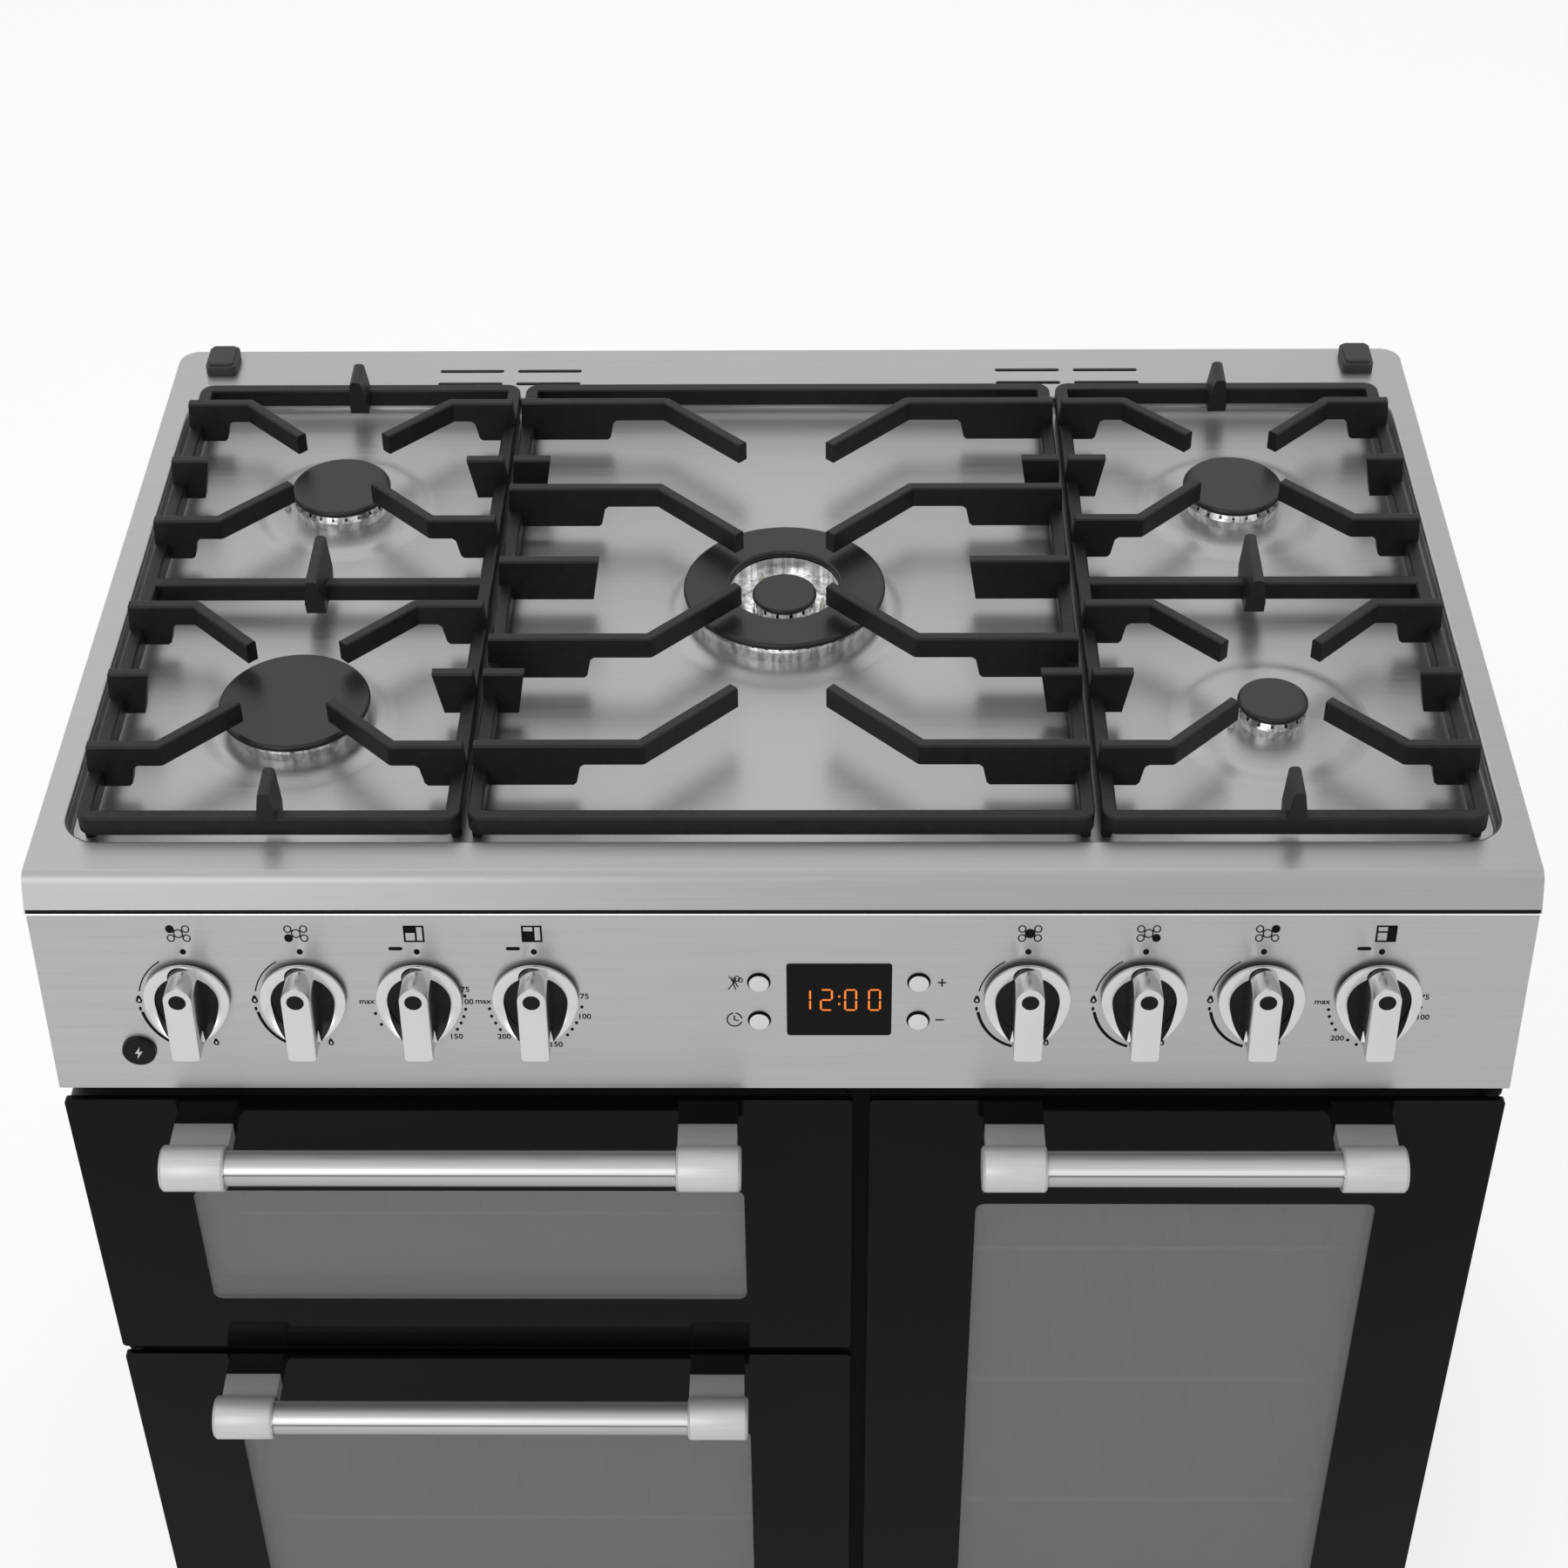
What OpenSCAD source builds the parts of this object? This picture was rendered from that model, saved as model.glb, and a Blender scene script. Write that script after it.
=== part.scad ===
// Free-standing dual fuel range cooker: a five-burner gas hob over a drop-down
// grill oven, a side-hung main oven and a tall side-hung fan oven.
// Origin on the floor under the middle of the cooker, front towards -Y.

/* [Overall] */
// Width over the hob
width = 900; // [880:1:1000]
// Height of the hob rim above the floor
rim_height = 900; // [880:1:930]
// Depth of the hob from front edge to back edge
hob_depth = 580; // [570:1:640]
// How far the hob reaches past each side panel
hob_overhang = 2; // [1:0.5:6]
// Thickness of the casing sheet
casing_t = 1.2; // [0.8:0.1:2]
// Gap between separate pieces that seat on each other
seat_gap = 0.2; // [0.1:0.05:0.3]

/* [Hob] */
// Thickness of the hob sheet
hob_t = 1.5; // [1:0.1:2]
// Height of the lip round the hob
lip_drop = 22.8; // [18:0.2:30]
// How far the foot of the front lip stands ahead of its top
lip_lead = 9.4; // [5:0.2:14]
// Radius of the front edge
front_edge_r = 8; // [4:0.5:12]
// Plan radius of the two rear corners
rear_corner_r = 14; // [6:1:30]
// Depth of the spill tray below the rim
tray_depth = 10; // [8:0.5:14]
// Rim left of and right of the spill tray
tray_side = 18; // [14:1:30]
// Rim ahead of the spill tray
tray_front = 31; // [20:1:45]
// Rim behind the spill tray
tray_back = 64; // [50:1:90]
// Plan radius of the spill tray's corners
tray_corner_r = 22; // [12:1:40]
// Radius where the tray wall meets its floor
tray_fillet = 3; // [2:0.5:3]
// Radius where the rim turns down into the tray
tray_edge_r = 3; // [2:0.5:3.5]
// Height of the pressed seat round each burner
seat_rise = 2.5; // [1:0.5:3.5]
// Length of one vent slot behind the tray
vent_slot_l = 47; // [30:1:60]
// Width of one vent slot
vent_slot_w = 4; // [3:0.5:6]
// Size of one rear buffer, left to right
buffer_w = 22; // [16:1:30]
// Size of one rear buffer, front to back
buffer_d = 29; // [20:1:34]
// Height of one rear buffer
buffer_h = 10; // [6:1:14]

/* [Burners] */
// Distance of the side burners from the middle
burner_x = 307.5; // [295:0.5:330]
// Distance of the front burners from the hob's front edge
burner_front = 154.25; // [150:0.25:158]
// Distance of the rear burners from the hob's rear edge
burner_back = 188.75; // [184:0.25:193]
// Diameter of the front left burner's cap
large_cap_d = 95.5; // [90:0.5:100]
// Diameter of the two rear burners' caps
medium_cap_d = 68; // [62:0.5:74]
// Diameter of the front right burner's cap
small_cap_d = 44.5; // [40:0.5:50]
// Outer diameter of the wok burner's ring cap
wok_cap_d = 133; // [126:0.5:136]
// Diameter of the opening in the ring cap
wok_hole_d = 72.5; // [66:0.5:78]
// Diameter of the wok burner's inner cap
wok_inner_d = 42.5; // [38:0.5:48]
// Thickness of a burner cap
cap_t = 5; // [4:0.5:6]
// Height of a burner head from its seat to its cap
head_h = 12; // [10:0.5:12.5]
// Distance between the flame ports round a head
port_pitch = 9; // [8:0.5:14]

/* [Pan supports] */
// Width of a support's frame bar
bar_w = 9; // [7:0.5:11]
// Thickness of a finger
finger_t = 7.5; // [6:0.5:9]
// Height of the frame bars' top above the rim
bar_rise = 14; // [11:0.5:18]
// Height of the fingers' top above the rim
finger_rise = 32; // [28:0.5:38]
// Depth of a finger
finger_h = 14.5; // [12:0.5:20]
// Height of the webs' underside above the rim
web_rise = 1.5; // [0.5:0.5:4]
// Gap between two supports
support_gap = 4; // [2:0.5:8]
// Half of the centre support's width
centre_half = 188; // [180:1:196]
// Gap from the side supports to the tray wall
support_side_gap = 9; // [6:0.5:14]
// Gap from the supports to the tray's front and rear walls
support_end_gap = 3; // [3:0.5:6]

/* [Control panel] */
// Height of the panel measured along its face
panel_h = 127; // [120:1:140]
// Lean of the panel's face from upright, in degrees
panel_lean = 5.46; // [3:0.1:8]
// Thickness of the panel sheet
panel_t = 1.5; // [1:0.1:2]
// Gap between the hob lip and the panel
panel_gap = 2; // [1:0.5:4]
// Distance of the inner knobs from the middle
knob_inner_x = 148.5; // [140:0.5:160]
// Distance between neighbouring knobs
knob_pitch = 70.5; // [66:0.5:74]
// Distance of the knobs below the panel's top edge
knob_drop = 60; // [56:0.5:70]
// Diameter of a knob's skirt
knob_d = 52; // [46:0.5:56]
// Height of the skirt at its low side
skirt_low = 2.4; // [2:0.2:5]
// Height of the skirt at its high side
skirt_high = 13.6; // [11:0.2:16]
// Distance from a knob's axis, towards its pointer, where its face starts to rise
sweep_start = 3; // [0:0.5:8]
// Width of the skirt's rim
skirt_rim = 6.8; // [5:0.1:8]
// Width of a knob's grip bar
grip_w = 17.2; // [14:0.2:20]
// Reach of the grip bar towards its pointer end
grip_up = 24; // [20:0.5:25]
// Reach of the grip bar away from its pointer
grip_down = 31; // [28:0.5:34]
// Height of the grip bar's face above the panel
grip_h = 26; // [22:0.5:30]
// Gap between a knob's skirt and the panel
knob_gap = 3.2; // [3:0.1:6]
// Radius of a control's spindle
spindle_r = 4; // [3:0.25:5]
// Running clearance of a shaft in its bore
run_gap = 0.05; // [0.02:0.01:0.08]
// Width of the timer window
window_w = 63.3; // [56:0.1:70]
// Height of the timer window
window_h = 55; // [48:0.5:60]
// Distance of the timer window from the middle
window_x = 35; // [20:0.5:60]
// Radius of a timer button
timer_button_r = 6.7; // [5:0.1:8]
// Radius of the ignition button
spark_button_r = 10.3; // [8:0.1:12]

/* [Doors] */
// Lead of the doors' glass ahead of the hob's front edge
door_lead = 23; // [20:0.5:30]
// Drop from the hob rim to the doors' top edge
door_drop = 168; // [166:0.5:180]
// Height of the doors' bottom edge above the floor
door_bottom = 100; // [95:1:120]
// Width of the two left doors
left_door_w = 491.5; // [450:0.5:520]
// Gap between the left doors and the right door
door_gap = 10.8; // [6:0.2:16]
// Height of the drop-down oven's door
top_door_h = 240; // [220:1:260]
// Gap between the two left doors
door_v_gap = 8; // [8:0.5:12]
// Thickness of a door
door_t = 25; // [22:0.5:27]
// Thickness of a door pane
pane_t = 4; // [3:0.5:5]
// Border of a door's window at its sides
window_side = 69; // [60:1:80]
// Border of the two upper doors' windows at the top
window_top = 84; // [70:1:100]
// Border of a door's window at the bottom
window_foot = 50; // [40:1:60]
// Distance of a hinge axis from the door's edge
hinge_in = 8; // [7:0.5:10]
// Distance of a hinge axis behind the door's front face
hinge_back = 9; // [8:0.5:10]
// Radius of a hinge pin
hinge_pin_r = 3; // [2:0.25:3.5]

/* [Handles] */
// Distance from the door glass to the middle of the handle bar
handle_reach = 32; // [28:0.5:45]
// Diameter of the handle bar
handle_bar_d = 22.3; // [16:0.1:24]
// Diameter of the end sleeves
handle_cap_d = 29; // [25:0.5:32]
// Length of an end sleeve
handle_cap_l = 40.4; // [30:0.2:50]
// Width of a handle's arm
arm_w = 37; // [28:0.5:38]
// Height of a handle's arm
arm_h = 12.8; // [8:0.2:18]
// Drop from the door's top edge to the middle of the handle
handle_drop = 27.5; // [20:0.5:40]
// Distance of a handle's ends from the left doors' edges
handle_inset = 66; // [50:0.5:90]
// Shift of the handles towards the cooker's outer sides
handle_shift = 3; // [0:0.5:6]

/* [Ovens] */
// Distance from a door's side edge to the oven cavity
cavity_side = 46; // [40:1:56]
// Distance from a door's top edge to the oven cavity
cavity_head = 32; // [28:1:40]
// Distance from a door's bottom edge to the oven cavity
cavity_foot = 34; // [30:1:44]
// Depth of an oven cavity
cavity_depth = 430; // [380:5:440]
// Corner radius of an oven cavity
cavity_r = 18; // [10:1:24]
// Radius of a shelf wire
wire_r = 2; // [1.5:0.25:3]
// Radius of a shelf's frame rod
shelf_rod_r = 3; // [2.5:0.25:4]
// Radius of a shelf runner on the cavity wall
runner_r = 4; // [3:0.25:5]
// Radius of a fan's impeller
fan_r = 70; // [55:1:80]

/* [Base] */
// Height of the casing's underside above the floor
base_z = 60; // [50:1:70]
// Height of the base frame
base_h = 30; // [24:1:34]
// Width of the base frame's rails
rail_w = 52; // [50:1:60]
// Radius of a foot's pad
foot_r = 20; // [15:1:25]
// Radius of a foot's screw
foot_screw_r = 5; // [4:0.5:6]
// Distance of the feet from the base frame's corners
foot_inset = 35; // [34:1:38]

/* [Hidden] */

$fn = 48;
EPS = 0.01;

// Depth planes, front to back
total_depth = hob_depth + door_lead + handle_reach + handle_cap_d / 2;
back_y = total_depth / 2;
hob_y = back_y - hob_depth;
glass_y = hob_y - door_lead;
handle_y = glass_y - handle_reach;
door_inner_y = glass_y + door_t;
hinge_y = glass_y + hinge_back;
seal_room = 4;
frame_y = door_inner_y + seal_room;
frame_t = 1.5;
liner_y = frame_y + frame_t;
casing_back = back_y - 5;
casing_w = width - 2 * hob_overhang;
casing_x = casing_w / 2;
hob_under = rim_height - hob_t;
tray_floor = rim_height - tray_depth;

// Control panel's own frame: x across, y up the face, z out of the face
panel_top_z = rim_height - lip_drop - panel_gap;
panel_top_y = hob_y - lip_lead;
panel_w = width - 2;
panel_foot_z = panel_top_z - panel_h * cos(panel_lean);
panel_foot_y = panel_top_y - panel_h * sin(panel_lean);

// Doors and cavities as [left, right, bottom, top]
door_top = rim_height - door_drop;
split_x = -casing_x + left_door_w;
TOP_DOOR = [-casing_x, split_x, door_top - top_door_h, door_top];
MAIN_DOOR = [-casing_x, split_x, door_bottom, TOP_DOOR[2] - door_v_gap];
TALL_DOOR = [split_x + door_gap, casing_x, door_bottom, door_top];
function cavity_of(door) = [door[0] + cavity_side, door[1] - cavity_side,
    door[2] + cavity_foot, door[3] - cavity_head];
TOP_CAVITY = cavity_of(TOP_DOOR);
MAIN_CAVITY = cavity_of(MAIN_DOOR);
TALL_CAVITY = cavity_of(TALL_DOOR);
cavity_back = liner_y + casing_t + cavity_depth;

// Burners as [x, distance from the hob's front edge, cap radius, head radius, cup radius, seat radius]
burner_rear = hob_depth - burner_back;
wok_dist = (burner_front + burner_rear) / 2 + 0.75;
LARGE = [-burner_x, burner_front, large_cap_d / 2, large_cap_d / 2 - 4.5, 30, 64];
MEDIUM_LEFT = [-burner_x, burner_rear, medium_cap_d / 2, medium_cap_d / 2 - 0.5, 23, 64];
MEDIUM_RIGHT = [burner_x, burner_rear, medium_cap_d / 2, medium_cap_d / 2 - 0.5, 23, 64];
SMALL = [burner_x, burner_front, small_cap_d / 2, small_cap_d / 2 - 0.5, 15, 64];
WOK = [0, wok_dist, wok_cap_d / 2, wok_cap_d / 2 - 4, 42, 82];
BURNERS = [LARGE, MEDIUM_LEFT, WOK, MEDIUM_RIGHT, SMALL];
SIDE_BURNERS = [LARGE, MEDIUM_LEFT, MEDIUM_RIGHT, SMALL];
burner_seat_z = tray_floor + seat_rise;
cup_drop = 34;
flange_t = 3;
pin_r = 2;
pin_out = 5;
pin_gap = 0.3;
pin_foot = 24;

// Spark electrodes and flame sensors as [burner, angle round it, distance from its middle]
SIDE_PINS = [[LARGE, 70, LARGE[3] + pin_out], [LARGE, 110, LARGE[3] + pin_out],
    [MEDIUM_LEFT, 186, MEDIUM_LEFT[3] + pin_out], [MEDIUM_LEFT, 60, MEDIUM_LEFT[3] + pin_out],
    [MEDIUM_RIGHT, 60, MEDIUM_RIGHT[3] + pin_out], [MEDIUM_RIGHT, 120, MEDIUM_RIGHT[3] + pin_out],
    [SMALL, 196, SMALL[3] + pin_out], [SMALL, 60, SMALL[3] + pin_out]];
WOK_PINS = [[WOK, -17, wok_inner_d / 2 + pin_out], [WOK, 125, wok_inner_d / 2 + pin_out]];

// Pan supports
support_z = tray_floor + seat_gap;
bar_top = rim_height + bar_rise;
finger_top = rim_height + finger_rise;
finger_under = finger_top - finger_h;
web_z = rim_height + web_rise;
support_front = tray_front + support_end_gap;
support_rear = hob_depth - tray_back - support_end_gap;
side_outer = width / 2 - tray_side - support_side_gap;
side_inner = centre_half + support_gap;
bend_reach = 71;
tip_reach = 29;
wok_bend = 85;
wok_tip = 30;

KNOB_X = [for (side = [-1, 1]) for (i = [0:3]) side * (knob_inner_x + (side < 0 ? 3 - i : i) * knob_pitch)];
knob_bore = 12;
spindle_out = knob_gap + 9;
tap_front = 22;
tap_back = 62;
manifold_r = 9;
manifold_z = tap_back + manifold_r;
gas_x = width / 2 - 55;

// Middle of the gas manifold in the part's own frame
manifold_at = [0, panel_top_y - knob_drop * sin(panel_lean) + manifold_z * cos(panel_lean),
    panel_top_z - knob_drop * cos(panel_lean) - manifold_z * sin(panel_lean)];

module rounded_rect(w, d, r) {
    union() {
        square([w - 2 * r, d], center = true);
        square([w, d - 2 * r], center = true);
        for (sx = [-1, 1], sy = [-1, 1])
            translate([sx * (w / 2 - r), sy * (d / 2 - r)]) circle(r);
    }
}

// Sweeps a profile round a rounded rectangle; the profile's x is the distance outward from the path
module sweep_rect(w, d, r) {
    for (k = [0:3]) {
        across = k % 2 == 0 ? w : d;
        along = k % 2 == 0 ? d : w;
        rotate(90 * k) translate([across / 2, 0, 0]) rotate([90, 0, 0])
            linear_extrude(along - 2 * r, center = true) children();
        rotate(90 * k) translate([across / 2 - r, along / 2 - r, 0])
            rotate_extrude(angle = 90) translate([r, 0]) children();
    }
}

// A plate standing in the XZ plane, with its front face at y
module front_plate(box, y, t, r) {
    translate([(box[0] + box[1]) / 2, y + t, (box[2] + box[3]) / 2]) rotate([90, 0, 0])
        linear_extrude(t) rounded_rect(box[1] - box[0], box[3] - box[2], r);
}

function grown(box, by) = [box[0] - by, box[1] + by, box[2] - by, box[3] + by];

module cuboid(x0, x1, y0, y1, z0, z1) {
    translate([x0, y0, z0]) cube([x1 - x0, y1 - y0, z1 - z0]);
}

// Places children in the control panel's frame, at a distance below its top edge
module on_panel(x, down) {
    translate([x, panel_top_y - down * sin(panel_lean), panel_top_z - down * cos(panel_lean)])
        rotate([90 - panel_lean, 0, 0]) children();
}

module at_burner(b, z) {
    translate([b[0], hob_y + b[1], z]) children();
}

// Places children at an electrode or sensor
module at_pin(p, z) {
    at_burner(p[0], z) rotate(p[1]) translate([p[2], 0, 0]) children();
}

module base_frame() {
    x1 = casing_x - casing_t;
    y0 = liner_y + casing_t;
    y1 = casing_back - 2 * casing_t;
    t = frame_t;
    color("dimgray") union() {
        difference() {
            cuboid(-x1, x1, y0, y1, base_z, base_z + base_h);
            cuboid(-x1 + rail_w, x1 - rail_w, y0 + rail_w, y1 - rail_w, base_z - 1, base_z + base_h + 1);
            difference() {
                cuboid(-x1 + t, x1 - t, y0 + t, y1 - t, base_z + 2 * t, base_z + base_h + 1);
                cuboid(-x1 + rail_w - t, x1 - rail_w + t, y0 + rail_w - t, y1 - rail_w + t,
                    base_z, base_z + base_h + 2);
            }
            for (sx = [-1, 1], y = [y0 + foot_inset, y1 - foot_inset])
                translate([sx * (x1 - foot_inset), y, base_z - 1])
                    cylinder(r = foot_screw_r + seat_gap, h = 2 * t + 2);
        }
        cuboid(-x1, x1, y0, y1, base_z + base_h, base_z + base_h + casing_t);
    }
}

module adjustable_feet() {
    x1 = casing_x - casing_t - foot_inset;
    y0 = liner_y + casing_t + foot_inset;
    y1 = casing_back - 2 * casing_t - foot_inset;
    nut_h = 8;
    color("black") for (x = [-x1, x1], y = [y0, y1]) translate([x, y, 0]) {
        cylinder(r1 = foot_r, r2 = foot_r - 2, h = 8);
        translate([0, 0, 8 - EPS]) cylinder(r1 = foot_r - 6, r2 = foot_screw_r + 2, h = 10);
        cylinder(r = foot_screw_r, h = base_z + 16);
        translate([0, 0, base_z - nut_h]) cylinder(r = 9.5, h = nut_h, $fn = 6);
    }
}

module plinth() {
    set_back = 20;
    fold = 9;
    clear = 8;
    x1 = casing_x - 6;
    y0 = hob_y + set_back;
    color("black") union() {
        cuboid(-x1, x1, y0, y0 + casing_t, clear, base_z);
        cuboid(-x1, x1, y0, y0 + fold, base_z - casing_t, base_z);
    }
}

// A folded side sheet, seen from above: web with a return flange at the front and the back
module side_sheet() {
    flange = 14;
    y0 = liner_y;
    y1 = casing_back - casing_t;
    translate([0, 0, base_z]) linear_extrude(hob_under - base_z) polygon([
        [casing_x, y0], [casing_x, y1], [casing_x - flange, y1], [casing_x - flange, y1 - casing_t],
        [casing_x - casing_t, y1 - casing_t], [casing_x - casing_t, y0 + casing_t],
        [casing_x - flange, y0 + casing_t], [casing_x - flange, y0]]);
}

// Notch that clears the hob's rounded rear corners
module corner_relief() {
    cut = 8;
    for (sx = [-1, 1]) translate([sx * casing_x, casing_back, rim_height])
        cube([2 * cut, 2 * cut, 2 * (lip_drop + 1)], center = true);
}

module side_panel_right() {
    color("silver") difference() {
        side_sheet();
        corner_relief();
    }
}

module side_panel_left() {
    color("silver") difference() {
        mirror([1, 0, 0]) side_sheet();
        corner_relief();
    }
}

louvre_l = 70;
louvre_w = 5;
louvre_step_x = 105;
louvre_step_z = 22;
louvre_low = 700;
inlet_r = 10.48;
inlet_room = 12;
box_x = 120 - width / 2;
box_z = 180;
cable_r = 12;
chain_r = 5;
chain_x = casing_x - 60;
chain_drop = 120;
chain_z = rim_height - chain_drop;

// A round hole through the rear panel
module rear_hole(x, z, r) {
    translate([x, casing_back - 2 * casing_t, z]) rotate([-90, 0, 0]) cylinder(r = r, h = 3 * casing_t);
}

module rear_panel() {
    color("silver") difference() {
        cuboid(-casing_x, casing_x, casing_back - casing_t, casing_back, base_z, hob_under);
        for (col = [-3:3], row = [0:4])
            translate([col * louvre_step_x, casing_back - 2 * casing_t, louvre_low + row * louvre_step_z])
                rotate([-90, 0, 0])
                linear_extrude(3 * casing_t) rounded_rect(louvre_l, louvre_w, louvre_w / 2 - EPS);
        rear_hole(gas_x, manifold_at[2], inlet_r + inlet_room);
        rear_hole(box_x, box_z, cable_r);
        for (sx = [-1, 1]) rear_hole(sx * chain_x, chain_z, chain_r);
        corner_relief();
    }
}

bracket_t = 2.5;
bracket_gap = 1;
pin_l = 12;

// A plate that stands out of the front frame and carries an upright pin for a side-hung door
module hinge_bracket(x, z, up) {
    reach = 7;
    cuboid(x - reach, x + reach, hinge_y, frame_y + EPS, z, z + bracket_t);
    translate([x, hinge_y, z]) cylinder(r = reach, h = bracket_t);
    translate([x, hinge_y, up ? z + EPS : z - pin_l]) cylinder(r = hinge_pin_r, h = pin_l + bracket_t - EPS);
}

lug_t = 3;
lug_in = 20;
lug_pin = 8;

// A lug that reaches into the drop-down door and carries its cross pin
module hinge_lug(x) {
    z = TOP_DOOR[2] + hinge_in;
    cuboid(x - lug_t / 2, x + lug_t / 2, hinge_y, frame_y + EPS, z - 4, z + 4);
    translate([x - lug_t / 2, hinge_y, z]) rotate([0, 90, 0]) cylinder(r = 4, h = lug_t);
    translate([x - lug_pin, hinge_y, z]) rotate([0, 90, 0]) cylinder(r = hinge_pin_r, h = 2 * lug_pin);
}

CONTROL_OPENING = [-casing_x + 24, casing_x - 24, panel_foot_z + 14, panel_top_z - 12];

module front_frame() {
    color("dimgray") union() {
        difference() {
            cuboid(-casing_x, casing_x, frame_y, liner_y, base_z, panel_top_z);
            for (c = [TOP_CAVITY, MAIN_CAVITY, TALL_CAVITY])
                front_plate(c, frame_y - 1, frame_t + 2, cavity_r);
            front_plate(CONTROL_OPENING, frame_y - 1, frame_t + 2, 10);
        }
        hinge_bracket(-casing_x + hinge_in, door_bottom - bracket_gap - bracket_t, true);
        hinge_bracket(-casing_x + hinge_in, MAIN_DOOR[3] + bracket_gap, false);
        hinge_bracket(casing_x - hinge_in, door_bottom - bracket_gap - bracket_t, true);
        hinge_bracket(casing_x - hinge_in, door_top + bracket_gap, false);
        for (x = [TOP_DOOR[0] + lug_in, TOP_DOOR[1] - lug_in]) hinge_lug(x);
    }
}

runner_inset = 12;
shelf_front = 14;
shelf_back_gap = 62;
fan_hole_r = 7;

// Heights of the shelves above a cavity's floor
TOP_SHELVES = [42];
MAIN_SHELVES = [96, 196];
TALL_SHELVES = [120, 260, 400];

module oven_liner(c, shelves, fan) {
    w = c[1] - c[0];
    h = c[3] - c[2];
    mid = [(c[0] + c[1]) / 2, 0, (c[2] + c[3]) / 2];
    difference() {
        union() {
            front_plate(grown(c, casing_t), liner_y, cavity_depth + 2 * casing_t, cavity_r + casing_t);
            front_plate(grown(c, runner_inset), liner_y, casing_t, cavity_r + runner_inset);
        }
        difference() {
            front_plate(c, liner_y - 1, cavity_depth + casing_t + 1, cavity_r);
            for (z = shelves, x = [c[0], c[1]])
                translate([x, liner_y + 20, c[2] + z]) rotate([-90, 0, 0])
                    cylinder(r = runner_r, h = cavity_depth - 60);
        }
        if (fan)
            translate([mid[0], cavity_back - 5, mid[2]]) rotate([-90, 0, 0])
                cylinder(r = fan_hole_r, h = 10);
    }
}

module top_oven_liner() {
    color("darkslategray") oven_liner(TOP_CAVITY, TOP_SHELVES, false);
}

module main_oven_liner() {
    color("darkslategray") oven_liner(MAIN_CAVITY, MAIN_SHELVES, true);
}

module tall_oven_liner() {
    color("darkslategray") oven_liner(TALL_CAVITY, TALL_SHELVES, true);
}

module door_seals() {
    seal_out = 12;
    seal_in = 5;
    seal_t = seal_room - 0.3;
    color("black") for (c = [TOP_CAVITY, MAIN_CAVITY, TALL_CAVITY]) difference() {
        front_plate(grown(c, seal_out), frame_y - seal_t, seal_t, cavity_r + seal_out);
        front_plate(grown(c, seal_in), frame_y - seal_t - 1, seal_t + 2, cavity_r + seal_in);
    }
}

module rod(a, b, r) {
    d = b - a;
    len = norm(d);
    translate(a) rotate([0, acos(d[2] / len), atan2(d[1], d[0])]) cylinder(r = r, h = len, $fn = 16);
}

// A wire shelf that lies on the runners of one cavity
module wire_shelf(c, height) {
    side = 1.2;
    reach = shelf_rod_r + side;
    z = c[2] + height + sqrt(pow(runner_r + shelf_rod_r + seat_gap, 2) - pow(reach, 2));
    x0 = c[0] + reach;
    x1 = c[1] - reach;
    y0 = liner_y + shelf_front;
    y1 = cavity_back - shelf_back_gap;
    wires = floor((x1 - x0) / 32);
    step = (x1 - x0) / wires;
    union() {
        for (x = [x0, x1]) rod([x, y0, z], [x, y1, z], shelf_rod_r);
        for (y = [y0 + shelf_rod_r, y1 - shelf_rod_r]) rod([x0, y, z], [x1, y, z], shelf_rod_r - EPS);
        for (i = [1:wires - 1])
            rod([x0 + i * step, y0 + 1, z + wire_r], [x0 + i * step, y1 - 1, z + wire_r], wire_r);
    }
}

module oven_shelves() {
    color("silver") {
        for (z = TOP_SHELVES) wire_shelf(TOP_CAVITY, z);
        for (z = MAIN_SHELVES) wire_shelf(MAIN_CAVITY, z);
        for (z = TALL_SHELVES) wire_shelf(TALL_CAVITY, z);
    }
}

element_r = 3.5;

module grill_bend(x, pitch, y, z) {
    rod([x, y, z], [x + pitch, y, z], element_r - EPS);
}

// Looped grill rod under the cavity's roof, held by two strips
module grill_element() {
    loops = 4;
    span = 300;
    front_room = 50;
    strip_w = 8;
    last = 2 * loops - 1;
    pitch = span / last;
    x0 = (TOP_CAVITY[0] + TOP_CAVITY[1] - span) / 2;
    y0 = liner_y + front_room;
    y1 = cavity_back - 60;
    z = TOP_CAVITY[3] - 14;
    color("dimgray") union() {
        for (i = [0:last]) {
            x = x0 + i * pitch;
            rod([x, y0, z], [x, (i == 0 || i == last) ? cavity_back : y1, z], element_r);
        }
        for (i = [0:2:last - 1]) grill_bend(x0 + i * pitch, pitch, y0, z);
        for (i = [1:2:last - 2]) grill_bend(x0 + i * pitch, pitch, y1, z);
        for (y = [y0 + 50, y1 - 60]) {
            cuboid(x0, x0 + span, y, y + strip_w, z + 1, z + element_r + 1);
            for (x = [x0 + pitch / 2, x0 + span - pitch / 2])
                cuboid(x - strip_w / 2, x + strip_w / 2, y, y + strip_w, z + 1, TOP_CAVITY[3]);
        }
    }
}

function fan_centre(c) = [(c[0] + c[1]) / 2, cavity_back, (c[2] + c[3]) / 2];
fan_shaft_r = 4;
cover_depth = 38;
cover_margin = 26;
motor_l = 55;
fan_shaft_back = 30;

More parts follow.
